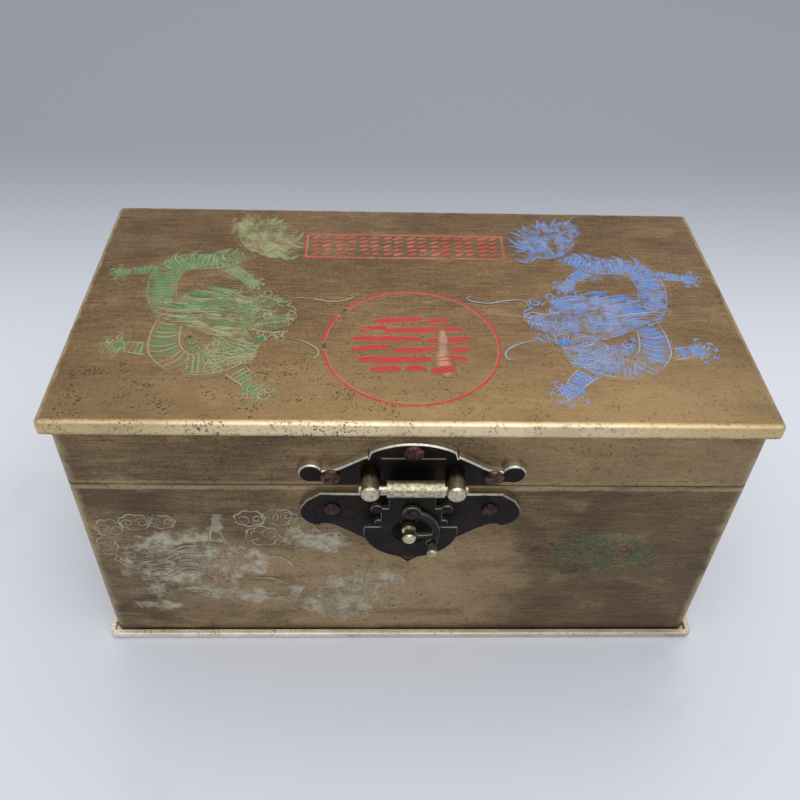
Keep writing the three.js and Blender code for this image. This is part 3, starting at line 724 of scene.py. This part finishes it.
def scaly_length(spine, half_widths, tones, cover, plates=False):
    """A stretch of a dragon: wash, two outlines, and rows of scales or plates right across."""
    carried = np.column_stack([spine, half_widths])
    strokes = [wash(spine, 1.3 * np.asarray(half_widths), tones[-1], cover)]
    path = smooth_curve(carried, 5)
    normal = left_of(path[:, :2])
    for side in (1, -1):
        edge = path[:, :2] + side * path[:, 2:] * normal
        strokes.append(stroke(edge[::3], 0.5, tones[0], steps=3))
    turn = np.radians([-80, -40, 0, 40, 80])[:, None]
    for row, (point, n) in enumerate(zip(*resampled(carried, 1.9 if plates else 1.45))):
        half, along = point[2], np.array([n[1], -n[0]])
        if plates:
            bowed = ((0.95, 0), (0, 0.9), (-0.95, 0))
            ends = [point[:2] + share * half * n + bow * along for share, bow in bowed]
            strokes.append(stroke(ends, 0.55, tones[row % len(tones)], 0.9, steps=4))
            continue
        for lane in np.arange(0.5 + 0.6 * (row % 2), 2 * half - 0.3, 1.2) - half:
            arc = point[:2] + lane * n + 0.66 * (np.cos(turn) * along + np.sin(turn) * n)
            tone = tones[int(7 * lane + row) % len(tones)]
            strokes.append(stroke(arc, 0.38, tone, 0.9, taper=(1, 1), steps=1))
    return strokes


def flames(points, length, tone):
    """Pointed flames on the left of a curve, each leaning back and bent to its tip."""
    strokes = []
    for k, (root, n) in enumerate(zip(*resampled(points, 3.4))):
        along = np.array([n[1], -n[0]])
        reach = length * (0.75 + 0.25 * (k % 3))
        line = [root + 0.6 * along, root + 0.6 * reach * n, root + reach * (n - 0.7 * along)]
        strokes.append(stroke(line, 1.4, tone, 0.8, taper=(1.0, 0.05)))
        strokes.append(stroke(np.add(line, 0.5 * along), 0.3, PALE, 0.7))
    return strokes


# A paw's toes, in degrees from its limb
TOES = (-95, -50, -8, 32, 78)


def leg(root, knee, paw, tones, cover, size):
    """A limb of two lengths and a paw, each toe a curl with a claw."""
    paw = np.array(paw, float)
    strokes = scaly_length([root, knee, paw], [size * 1.3, size, size * 0.8], tones, cover)
    pad = [paw - [1.6 * size, 0], paw, paw + [1.6 * size, 0]]
    strokes.append(wash(pad, [1, size * 1.7, 1], tones[-1], cover))
    away = np.subtract(paw, knee)
    for degrees in TOES:
        a = np.arctan2(away[1], away[0]) + np.radians(degrees)
        hand = 1 if degrees > 0 else -1
        out, side = size * np.array([np.cos(a), np.sin(a)]), size * hand * np.array([-np.sin(a), np.cos(a)])
        toe = paw + 1.35 * out
        curl = spiral(toe, 0.62 * size, 1.2, a + 1.2 * hand, -hand)
        claw = [toe + 0.4 * out, toe + 0.8 * out, toe + 0.85 * out - 0.75 * side]
        strokes += [
            stroke(curl, 0.42, tones[0], 0.85, steps=3),
            stroke(claw, 0.6, tones[-1], taper=(1, 0.1)),
            stroke([paw + 0.3 * out, toe], 0.9, tones[-1], 0.7, steps=2),
        ]
    strokes.append(stroke(ring_points(paw, size * 0.7, 10), 0.36, tones[0], steps=2, closed=True))
    return strokes


def dragon(flip, chance, tail_tones, back_tones, front_tones, back_cover, front_cover):
    """A traditional dragon coiled towards the middle of the lid, its tail flame at the back."""
    back = [(47, 24), (52, 22), (58.5, 19), (66, 19.3), (71.5, 16), (73.2, 9), (72, 1), (69, -7)]
    plated = [(67.6, -8), (68.4, -16), (66.8, -23.5), (61.5, -28.6)]
    scaled = [(61.5, -28.6), (55, -27.6), (49.6, -23), (46.2, -16.5)]
    outline, back_paint, front_paint = front_tones[0], back_tones[-1], front_tones[-1]
    strokes = [
        wash(back, [4.5, 5, 5.5, 6, 6.5, 6.5, 6, 5], back_paint, back_cover - 0.34),
        wash([(66, -12), (66, -20), (58, -24), (49, -22)], [5, 6, 8, 7], front_paint, front_cover - 0.14),
        wash([(60, 15), (53, 14), (46, 10)], [3, 4, 3], back_paint, back_cover - 0.3),
    ]
    strokes += leg((70, 14), (78, 14.8), (85.6, 13.4), back_tones, back_cover, 1.9)
    strokes += leg((57, 18), (51, 13.5), (47.2, 8.4), back_tones, back_cover, 1.8)
    strokes += leg((66.5, -22), (73, -22.2), (80, -21), front_tones, front_cover + 0.1, 2.4)
    strokes += leg((53, -26), (45, -33), (41.4, -38), front_tones, front_cover + 0.1, 2.6)
    strokes += scaly_length(back, [1.8, 2.6, 3.3, 3.8, 4.2, 4.2, 4.0, 3.4], back_tones, back_cover)
    strokes += scaly_length(plated, [3.6, 4.0, 4.3, 3.8], front_tones, front_cover, plates=True)
    strokes += scaly_length(scaled, [3.8, 5.0, 6.2, 4.6], front_tones, front_cover)
    chest, flank = [(41, -17), (43, -28)], [(49, -14), (60, -31)]
    strokes += hair(chance, chest, flank, 16, front_tones, (0.4, 0.6), 1.0, 0.9)
    strokes += scribble(chance, (50.5, -23.5), (8, 7), 60, 3.2, front_tones, 0.9)
    strokes += flames(back[1:6], 6.2, back_paint + 0.2)

    # Tail flame
    fan = [(34, 24), (32.4, 30), (33.4, 37), (37.5, 42.5), (44, 46), (50, 46.6), (57, 48)]
    heart = [(38, 27), (43, 31.5), (49, 38.5), (55, 45)]
    strokes.append(wash(heart, [6, 10, 9, 4], tail_tones[-1], back_cover - 0.1))
    strokes += hair(chance, [(46, 24.4), (48, 25)], fan, 12, tail_tones[-1:], (1.6, 2.6), 2.4, 0.62)
    strokes += hair(chance, [(45, 24.2), (49, 26)], fan, 26, tail_tones, (0.3, 0.5), 2.4, 0.66)

    # Mane streaming back from the head, in a haze of paint
    strokes += [
        wash([(40, -6), (50, -3), (60, -2), (72, -4)], [8, 8, 6.5, 3], front_paint, front_cover + 0.12),
        wash([(44, -13), (52, -11), (60, -9), (68, -8)], [4, 6, 5, 2], front_paint, front_cover),
    ]
    roots = [(41, 1), (45, -3), (47.5, -8), (46, -14), (44, -18)]
    tips = [(58, 5.4), (70, 3.6), (76, -1.5), (74.5, -6.8), (66, -11), (58, -15)]
    strokes += hair(chance, roots, tips, 52, front_tones, (0.28, 0.6), 1.5)
    locks = [(59, 4.6), (76, -3)]
    strokes += hair(chance, [(42, 0), (46, -8)], locks, 9, [back_paint], (0.9, 1.5), 1.6, 0.75)
    strokes += scribble(chance, (44, -4), (9, 7), 56, 3.4, front_tones, 0.75)
    for x, y, long, high in ((62, 2.6, 4.2, 2.2), (56, 5.4, 4, 1.2), (66, -3, 5, 1.6), (43, -17.5, 3.2, 2.2)):
        blot = [(x - long, y - 0.8), (x, y), (x + long, y + 0.4)]
        strokes.append(wash(blot, [0.6, high, 0.6], FULL, 1.1))

    # Head in profile
    head = np.array([41.0, -9.5])
    lines = [
        ([(9, 4), (3, 5.4), (-2, 4.2), (-5.5, 5.2), (-8.0, 3.3), (-8.2, 1.4)], 0.5, outline),
        ([(-8.2, 1.4), (-5, 0.2), (-1, -0.8), (4, -2.4)], 0.5, outline),
        ([(-6.8, -4.2), (-3, -5.2), (1, -4.8), (5, -2.8)], 0.5, outline),
        ([(-6.4, -2.2), (-3, -2.9), (1, -2.4)], 0.7, FULL),
        ([(-3, 3.6), (0.5, 4.4), (4.2, 3)], 1.0, FULL),
        ([(7, 0.5), (10, 2.6), (11.2, 0.6), (8, -1.2)], 0.5, outline),
        ([(4, 4.8), (9, 8), (14, 9.6), (19, 8.4)], 1.0, back_paint),
        ([(9, 8.2), (11, 10.8), (12.4, 12.6)], 0.7, back_paint),
        ([(-8, 3), (-7.6, 5.6), (-5.4, 7.2), (-6.6, 8.8)], 0.7, back_paint),
    ]
    strokes += [stroke(head + np.array(points), width, shade) for points, width, shade in lines]
    cheek = head + np.array([(-8, 1.5), (-2, 0.5), (4, 0), (9, 0)])
    strokes.append(wash(cheek, [2, 5, 6, 4], front_paint, front_cover))
    strokes += scribble(chance, head, (8, 5), 34, 2.4, front_tones, 0.8)
    for place, r, shade in (((0, 1.9), 1.0, PALE), ((0, 1.9), 0.4, FULL), ((-6.8, 3.4), 0.8, PALE)):
        strokes.append(stroke(ring_points(head + place, r, 10), 0.36, shade, steps=2, closed=True))
    for k in range(7):
        tooth = head + np.array([-6.2 + 1.2 * k, 0.2 - 0.32 * k])
        strokes.append(stroke([tooth, tooth + [0.25, -0.9]], 0.45, PALE, taper=(1, 0.1), steps=2))
    beard = [head + [-6.4, -4.8], head + [2, -4.4]]
    strokes += hair(chance, beard, np.add(beard, [1.2, -4.2]), 12, front_tones, (0.3, 0.6), 0.7)

    # Whiskers, and curls round the head
    whiskers = (
        [(35, -3), (33.8, 1.2), (28.3, 1.0), (22.9, -0.3), (17.9, 0.8), (16.8, 2.4), (18.3, 3.2)],
        [(38, -16.4), (31.3, -18.2), (26.8, -21), (25.6, -23.6), (26.7, -25.5), (29, -24.4)],
    )
    strokes += [stroke(line, 0.62) for line in whiskers]
    curls = (
        ((37, 0.5), 2.4, 1), ((42, 3.4), 2.2, -1), ((51, 4.4), 1.9, 1), ((66, 1), 2.2, -1),
        ((60.5, -19), 2.0, 1), ((59, -22), 1.4, -1), ((70.5, -1), 1.8, 1),
    )
    for middle, radius, hand in curls:
        strokes.append(stroke(spiral(middle, radius, 1.4, 0.6, hand), 0.6, back_paint, 0.85, steps=3))
    return mirrored(strokes, flip)


RING_MIDDLE, RING_RADIUS = (0.0, -19.4), 24.3
BAND_LOW, BAND_HIGH = (-31.9, 22.6), (30.4, 35.7)


def red_ring(chance):
    """A ring with six rows of level brush lines where an inscription was, rubbed pale down one side."""
    angle = np.degrees(np.linspace(0, 2 * np.pi, 144, endpoint=False))
    bare = ((angle > 139) & (angle < 150)) | ((angle > 178) & (angle < 187))
    ring = ring_points(RING_MIDDLE, RING_RADIUS, 36)
    # Where the ring is bare, its groove is painted in shade
    strokes = [stroke(ring, 1.1, np.where(bare, SHADED_GROOVE, FULL), steps=4, closed=True)]
    for row, reach in enumerate((11, 15, 17, 17, 15.5, 12)):
        y = -8.6 - 4.25 * row
        gaps = [-reach, *np.sort(chance.uniform(-0.6, 0.6, 1 + row % 2)) * reach, reach]
        for start, end in zip(gaps[:-1], gaps[1:]):
            rise, bow = chance.uniform(-0.2, 1.6), chance.uniform(-0.5, 0.7)
            ends = np.array([[start + 0.6, y - rise / 2], [end - 0.6, y + rise / 2]])
            strokes.append(brush([ends[0], ends.mean(0) + [0, bow], ends[1]], chance.uniform(2.3, 3.3)))
    strokes.append(wash([(8.4, -12), (8.8, -19), (8, -26), (9.4, -33)], [0.8, 1.6, 2.4, 1.2], PALE, 1.1))
    return strokes


def red_band(chance):
    """A framed band with eight blocks of short slanting dashes where an inscription was."""
    (x0, y0), (x1, y1) = BAND_LOW, BAND_HIGH
    sides = [((x0, y0), (x1, y0)), ((x1, y0), (x1, y1)), ((x1, y1), (x0, y1)), ((x0, y1), (x0, y0))]
    strokes = [stroke(side, 0.9, THIN, 0.8, taper=(1, 1)) for side in sides]
    cells = np.linspace(x0 + 1.2, x1 - 1.2, 9)
    for left, right in zip(cells[:-1] + 0.7, cells[1:] - 0.7):
        for level in np.linspace(y0 + 2.1, y1 - 2.1, 5):
            middle = (left + right) / 2 + chance.uniform(-0.6, 0.6)
            for start, end in ((left, middle - 0.3), (middle + 0.3, right)):
                rise = chance.uniform(0.3, 0.9)
                line = [(start, level - rise), (end, level + rise)]
                strokes.append(stroke(line, 1.3, chance.choice([THIN, FULL]), 0.8, taper=(0.7, 0.4)))
    return strokes


def clouds(chance, places, tone=PALE, cover=0.72):
    """Traditional clouds, each given by its middle, width and height, with two curls.

    An outline's radius is an ellipse's times 0.82 + 0.18 |sin(3.5 a + some turn)|.
    """
    angle = np.linspace(0, 2 * np.pi, 48, endpoint=False)
    strokes = []
    for x, z, width, height in places:
        swell = 0.82 + 0.18 * np.abs(np.sin(3.5 * angle + chance.uniform(0, 3)))
        ellipse = np.column_stack([width / 2 * np.cos(angle), height / 2 * np.sin(angle)])
        outline = np.array((x, z)) + swell[:, None] * ellipse
        strokes.append(stroke(outline, 0.5, tone, cover, steps=2, closed=True))
        for side in (-0.22, 0.22):
            at = np.add((x, z), [side * width, chance.uniform(-0.1, 0.1) * height])
            curl = spiral(at, 0.3 * height, 1.5, chance.uniform(0, 6), chance.choice([-1, 1]))
            strokes.append(stroke(curl, 0.45, tone, cover, steps=3))
    return strokes


def pale_scene(chance):
    """The worn picture left of the latch: clouds above, a figure with streaming drapery, waves below."""
    washes = [
        ([(-86, 35), (-75, 38), (-64, 40), (-53, 38), (-42, 41)], [5, 14, 16, 13, 6], 0.66),
        ([(-82, 30), (-70, 34), (-58, 33)], [5, 11, 7], 0.6),
        ([(-60, 37), (-49.5, 38.5), (-40, 37)], [4, 10, 4], 0.72),
        ([(-55, 38), (-49.5, 38), (-44, 38)], [3, 6, 3], 0.9),
        ([(-58, 47), (-55, 55), (-54, 63)], [4, 4, 1.5], 0.6),
        ([(-68, 25), (-55, 23.5), (-44, 21), (-32, 19.5)], [2.5, 4.6, 4, 2.4], 0.7),
        ([(-78, 31), (-75, 24), (-71, 17)], [3.5, 3.8, 2], 0.6),
        ([(-85, 17), (-76, 16.6), (-69, 17.2)], [2, 3.4, 2], 0.55),
        ([(-37, 25), (-31.5, 22.5), (-27, 20)], [3, 6.5, 3], 0.7),
        ([(-38, 53), (-27, 50), (-16, 46.5)], [4, 7, 3], 0.64),
        ([(-31, 13), (-20, 20), (-9, 26)], [7, 13, 6], 0.62),
        ([(-82, 45), (-71, 48), (-60, 47), (-51, 43)], [4, 7, 8, 4], 0.72),
        ([(-68, 41), (-57, 41), (-45, 39)], [6, 8, 4], 0.82),
        ([(-26, 27), (-14, 29), (-2, 33)], [4, 7, 3], 0.5),
    ]
    star = np.array([-49.5, 38.0])
    for angle in np.radians([8, 60, 118, 165, 212, 262, 318]):
        out = np.array([np.cos(angle), 0.85 * np.sin(angle)])
        washes.append(([star, star + 4 * out, star + 9 * out], [3.4, 2.8, 0.5], 0.74))
    strokes = [wash(spine, half_widths, PALE, cover) for spine, half_widths, cover in washes]
    strokes += clouds(chance, [
        (-85, 55, 8, 8), (-77.5, 57.6, 9, 7), (-70, 57.8, 8, 6), (-87, 47, 6, 9), (-82, 40.6, 8, 6),
        (-45, 59.4, 9, 7), (-36.6, 60, 10, 7), (-42, 51.6, 10, 9), (-31, 56, 8, 7), (-30, 48.6, 9, 7),
        (-21.6, 49.8, 8, 7), (-20, 29, 8, 8), (-11.5, 32, 8, 8), (-3.6, 29, 6, 8), (-21, 19, 7, 8),
        (-12.6, 21.4, 8, 9), (-4.6, 18.6, 6, 8), (-15.5, 11.4, 8, 6),
    ])
    strokes += scribble(chance, (-64, 38), (18, 12), 70, 7.0, (PALE,))
    strokes += scribble(chance, (-19.5, 21), (9, 12), 80, 4.6, (PALE,), 0.66)
    strokes += scribble(chance, (-48, 22), (18, 4), 30, 5.0, (PALE,), 0.55)
    drapery = [(-80, 30), (-82, 42)], [(-60, 34), (-58, 48)]
    strokes += hair(chance, *drapery, 18, (PALE,), (0.4, 0.9), 2.0, 0.66)
    water = [(-68, 26), (-66, 24)], [(-34, 20.5), (-33, 18)]
    strokes += hair(chance, *water, 7, (PALE,), (0.4, 0.8), 0.8, 0.66)
    lines = (
        [(-43, 41), (-39, 42), (-36, 40.5), (-34, 37.6), (-31, 36.6)],
        [(-47, 31), (-41, 31), (-36, 28)],
        [(-13, 22), (-12.4, 30), (-11.2, 38)],
        [(-16.6, 24), (-16, 29), (-15.2, 35)],
        [(-58, 47), (-56.6, 54), (-55, 61)],
        [(-53, 47), (-54, 53), (-56.6, 56)],
    )
    return strokes + [stroke(line, 0.8, PALE, 0.7) for line in lines]


def green_remains(chance):
    """What is left of the picture right of the latch: broken green lines, and others too faint to follow."""
    strokes = [wash([(42, 44), (54, 47), (64, 44), (75, 42)], [4, 10, 9, 4], THIN, 0.46)]
    # The dark scribbles are scratches painted in shade
    strokes += scribble(chance, (57, 43), (15, 10), 110, 6.0, (THIN, FULL, SHADED_GROOVE), 0.8)
    places = (48, 50, 8, 7), (57, 43, 9, 7), (66, 47, 8, 7), (61, 37, 8, 6), (35, 47, 8, 7), (72, 39, 7, 5)
    return strokes + clouds(chance, places, THIN, 0.5)


# Camera, floor and light

CAMERA_PLACE = np.array([-11.18, -203.61, 251.51])
CAMERA_YAW, CAMERA_PITCH, CAMERA_ROLL = np.radians([2.64, 43.294, 2.276])
FOCAL_PIXELS = 864.15
IMAGE_SIDE = 800
SENSOR = 36.0


def add_camera():
    """Level and facing the back, it is pitched down, turned to the right by its yaw, and rolled."""
    lens = bpy.data.cameras.new("camera")
    lens.sensor_width = SENSOR
    lens.lens = FOCAL_PIXELS / IMAGE_SIDE * SENSOR
    lens.clip_start = 0.01
    camera = bpy.data.objects.new("camera", lens)
    yaw = Matrix.Rotation(-CAMERA_YAW, 4, "Z")
    pitch = Matrix.Rotation(np.pi / 2 - CAMERA_PITCH, 4, "X")
    roll = Matrix.Rotation(CAMERA_ROLL, 4, "Z")
    camera.matrix_world = Matrix.Translation(CAMERA_PLACE * MM) @ yaw @ pitch @ roll
    bpy.context.scene.collection.objects.link(camera)
    bpy.context.scene.camera = camera


def add_lamp(name, place, target, size, power, colour):
    """A soft square light, its place and what it points at in metres."""
    light = bpy.data.lights.new(name, "AREA")
    light.size = size
    light.energy = power
    light.color = linear(colour)[:3]
    lamp = bpy.data.objects.new(name, light)
    lamp.location = place
    lamp.rotation_euler = (Vector(target) - Vector(place)).to_track_quat("-Z", "Y").to_euler()
    bpy.context.scene.collection.objects.link(lamp)


def add_floor():
    """A pale painted table top, darker towards the back as painted shade, with a few faint smudges."""
    reach = 4000
    corners = np.array([[-reach, -reach, 0], [reach, -reach, 0], [reach, reach, 0], [-reach, reach, 0]])
    floor = add_mesh("floor", corners, [np.arange(4)])
    material, add, place, surface = new_material("painted table")
    axes = add("SeparateXYZ", {0: place})
    # Painted shade: the table darker towards the back
    ends = {"Value": axes.outputs["Y"], "From Min": 0.05, "From Max": 0.3}
    back = add("MapRange", ends, interpolation_type="SMOOTHSTEP").outputs[0]
    colour = mixed(add, back, "#d2d5da", "#8b9099")
    smudge = spread(add, noise(add, place, 60, 7.0, 0.65), 0.55, 0.8)
    smudge = maths(add, "MULTIPLY", smudge, spread(add, axes.outputs["Y"], 0.1, 0.0))
    colour = over(add, colour, "#a9abb0", smudge, 0.34)
    shader = add("BsdfPrincipled", {"Base Color": colour, "Roughness": 0.6})
    floor.data.materials.append(material)
    surface.node.id_data.links.new(shader.outputs[0], surface)


def add_world():
    """An even studio: grey towards the horizon and white from about 50 degrees up."""
    world = bpy.data.worlds.new("studio")
    world.use_nodes = True
    add = partial(add_node, world.node_tree)
    up = add("SeparateXYZ", {0: add("TexCoord").outputs["Generated"]}).outputs["Z"]
    rise = spread(add, up, 0.35, 0.8)
    sky = mixed(add, rise, "#b4b8c1", "#f4f5f8")
    background = world.node_tree.nodes["Background"]
    background.inputs["Strength"].default_value = 0.95
    world.node_tree.links.new(sky, background.inputs["Color"])
    bpy.context.scene.world = world


add_camera()
add_floor()
add_world()
add_lamp("window", (0.07, 0.62, 1.02), (0.0, -0.05, 0.1), 0.95, 3.1, "#fff8ee")
add_lamp("ceiling", (0.15, -0.7, 1.05), (0.0, -0.1, 0.0), 1.4, 8.0, "#f4f6ff")
bpy.context.scene.view_settings.view_transform = "Standard"

# Sheet metal of the box

lid_brass = brass_material("tarnished pressed brass lid, painted highlights", LID_SHEET)
lid_wall_brass = brass_material("tarnished drawn brass lid wall", LID_WALL_SHEET)
body_brass = brass_material("tarnished drawn brass wall, painted light and shade", BODY_SHEET)
base_brass = brass_material("rubbed pressed brass base, painted highlight and shade", BASE_SHEET, metallic=0.5)

piece(pressed_plate("lid_top", TOP - COAT, LID_LOW[2]), "lid", "aged_brass", lid_brass, "lid_plate")
piece(pressed_plate("base_pan", 0.0, BASE_HIGH[2]), "box", "aged_brass", base_brass, "base_plate")
lid_band = wall_band("lid_wall_band", LID_WALL_LOW[2], LID_WALL_HIGH[2])
piece(lid_band, "lid", "aged_brass", lid_wall_brass, "lid_walls")
body_band = wall_band("body_wall_band", BODY_LOW[2], BODY_HIGH[2])
piece(body_band, "box", "aged_brass", body_brass, "body_walls")

# Paintings: each colour's painted shadow of a scratch, its pale tone (a scratch's painted highlight, and
# faded paint), thin and full paint

GREEN = ("#2c3320", "#a8a177", "#587f4c", "#1f7048")
BLUE = ("#3a3428", "#a0a5b2", "#5c80b8", "#2c6cc0")
RED = ("#2f2219", "#b98a70", "#b04a38", "#b3231c")
CREAM = ("#62553e", "#b0ac96", "#a19d86", "#b4b6a8")
MOSS = ("#332b20", "#7a7358", "#43562f", "#2a5a2c")

green_enamel = worn_paint("green enamel, worn", GREEN, LID_SHEET)
green_dragon = dragon(
    -1, np.random.default_rng(11), (0.46, PALE, 0.48), (THIN, 0.5, THIN), (PALE, PALE, THIN), 0.86, 0.52
)
painting("dragon_green", green_dragon, "top", green_enamel, "lid")
blue_enamel = worn_paint("blue enamel, worn", BLUE, LID_SHEET)
blue_dragon = dragon(
    1, np.random.default_rng(12), (THIN, PALE, THIN), (THIN, PALE, THIN), (PALE, THIN, THIN), 0.95, 0.7
)
painting("dragon_blue", blue_dragon, "top", blue_enamel, "lid")
red_enamel = worn_paint("red enamel, worn", RED, LID_SHEET)
painting("ring_red", red_ring(np.random.default_rng(5)), "top", red_enamel, "lid")
painting("band_red", red_band(np.random.default_rng(8)), "top", red_enamel, "lid")
cream_enamel = worn_paint("white enamel, nearly gone", CREAM, BODY_SHEET)
painting("scene_cream", pale_scene(np.random.default_rng(3)), "front", cream_enamel, "box")
moss_enamel = worn_paint("green enamel, nearly gone", MOSS, BODY_SHEET)
painting("scene_moss", green_remains(np.random.default_rng(6)), "front", moss_enamel, "box")

# Latch. A casting's face lies this far in front of the wall, and the barrel starts at this height
PLATE_FACE = 2.2
FLAP_FACE = 6.8
HOOK_FACE = 8.3
BARREL_FOOT = 79.0


def behind(face, start, full):
    """A band by its depth behind a casting's face, or in front of it where the depth is negative."""
    return ("y", FRONT - face + start, FRONT - face + full)


upper_bronze = blackened_casting(
    "blackened casting, rubbed edge", "#14110f", "#2a241e", "#d6cfbe", [behind(PLATE_FACE, 0.04, 0.18)],
    lines=[[("z", 86.5, 86.7), ("z", 87.2, 87.0), ("|x|", 8.6, 8.2)]],
)
lower_bronze = blackened_casting(
    "blackened casting, dull edge", "#161212", "#2c2522", "#a39a88",
    [behind(PLATE_FACE, 0.04, 0.2), ("z", 60.0, 70.0)],
)
flap_bronze = blackened_casting(
    "gunmetal casting", "#151413", "#272522", "#77736a", [behind(FLAP_FACE, 0.05, 0.25)],
    polished=[("z", BARREL_FOOT - 0.2, BARREL_FOOT + 0.1)],
)
hook_bronze = blackened_casting(
    "gunmetal hook", "#24211d", "#3d3831", "#a39c8c", [behind(HOOK_FACE, 0.05, 0.3)],
    polished=[behind(HOOK_FACE, -0.4, -0.8)],
)
for made, node, body, bronze, bevel in (
    ("upper_plate", "latch_upper_plate", "lid", upper_bronze, 0.12),
    ("lower_plate", "latch_lower_plate", "box", lower_bronze, 0.12),
    ("flap", "hasp_flap", "hasp", flap_bronze, 0.12),
    ("hook", "swing_hook", "hook", hook_bronze, 0.1),
):
    piece(worn_copy(made, node, bevel), body, "dark_bronze", bronze, node)

nickel = rubbed_nickel("rubbed nickel", "#d8d0b6", "#8f8768", [("y", FRONT - 6.6, FRONT - 4.4)])
bare_nickel = rubbed_nickel("rubbed nickel pin", "#e2dac0", "#a39a7b")
for made, node, body in (
    ("post_left", "latch_post_left", "lid"),
    ("post_right", "latch_post_right", "lid"),
    ("catch", "catch_post", "box"),
):
    piece(worn_copy(made, node, 0.1), body, "worn_nickel", nickel, node)

pin_low, pin_high = node_box("hasp_pin")
pin_radius, pin_length = (pin_high[2] - pin_low[2]) / 2, pin_high[0] - pin_low[0]
pin_end = [(r, pin_length - 0.4 + 0.4 * h) for r, h in ((1.0, 0.0), (0.92, 0.5), (0.7, 0.85), (0.0, 1.0))]
pin_profile = [(r, pin_length - l) for r, l in pin_end[::-1]] + pin_end
pin_middle = (pin_low[0], *((pin_low + pin_high) / 2)[1:])
pin = turned("pin", np.array(pin_profile) * [pin_radius, 1.0], pin_middle, (1.0, 0.0, 0.0))
piece(pin, "lid", "worn_nickel", bare_nickel, "hasp_pin")

# Rivets. Each has a tail inside the wall, a shank and a head that a hammer has left slightly flat
RIVET_SHANK, RIVET_TAIL, TAIL_HEIGHT = 1.2, 2.0, 0.7
HINGE_HEAD, HINGE_DOME = 1.9, 0.8
copper = copper_rivet("hammered copper rivets", "#2a1a16", "#563a31", "#876659")
dark_copper = copper_rivet("blackened copper rivets", "#1b1413", "#3c2b28", "#64504a")


def hammered_rivet(node):
    """A head of radius r cos a and height d (0.15 + 0.85 sin(a)^0.8), turned about an axis off the wall."""
    low, high = node_box(node)
    rear = high[1] > 0
    wall, outwards = (REAR, 1.0) if rear else (FRONT, -1.0)
    reach = high[1] - REAR if rear else FRONT - low[1]
    head, dome = (HINGE_HEAD, HINGE_DOME) if rear else ((high[0] - low[0]) / 2, reach - PLATE_FACE)
    grip, inside = reach - dome, -WALL_SHEET - TAIL_HEIGHT
    a = np.linspace(0, np.pi / 2, 8)
    profile = [(0, inside), (RIVET_TAIL - 0.2, inside), (RIVET_TAIL, inside + 0.2), (RIVET_TAIL, -WALL_SHEET)]
    profile += [(RIVET_SHANK, -WALL_SHEET), (RIVET_SHANK, grip), (head - 0.1, grip)]
    profile += list(zip(head * np.cos(a), grip + dome * (0.15 + 0.85 * np.sin(a) ** 0.8)))
    middle = ((low[0] + high[0]) / 2, wall, (low[2] + high[2]) / 2)
    return turned(node + "_head", profile, middle, (0.0, outwards, 0.0), steps=36)


for name, node in frame["nodes"].items():
    if "rivet" in name and name != "hook_rivet":
        finish = dark_copper if "lower" in name else copper
        piece(hammered_rivet(name), node["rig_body"], "copper_rivet", finish, name)
piece(worn_copy("hook_pivot_head", "hook_rivet", 0.1), "hasp", "copper_rivet", dark_copper, "hook_rivet")

# Hinges

hinge_brass = brass_material("tarnished cast brass hinge", HINGE_SHEET)
for side in ("left", "right"):
    for part, body in (("body_leaf", "box"), ("lid_leaf", "lid")):
        name = f"hinge_{side}_{part}"
        piece(worn_copy(name + "_worn", name, 0.12), body, "aged_brass", hinge_brass, name)
    name = f"hinge_{side}_pin"
    piece(worn_copy(name + "_worn", name, 0.1), "box", "worn_nickel", nickel, name)
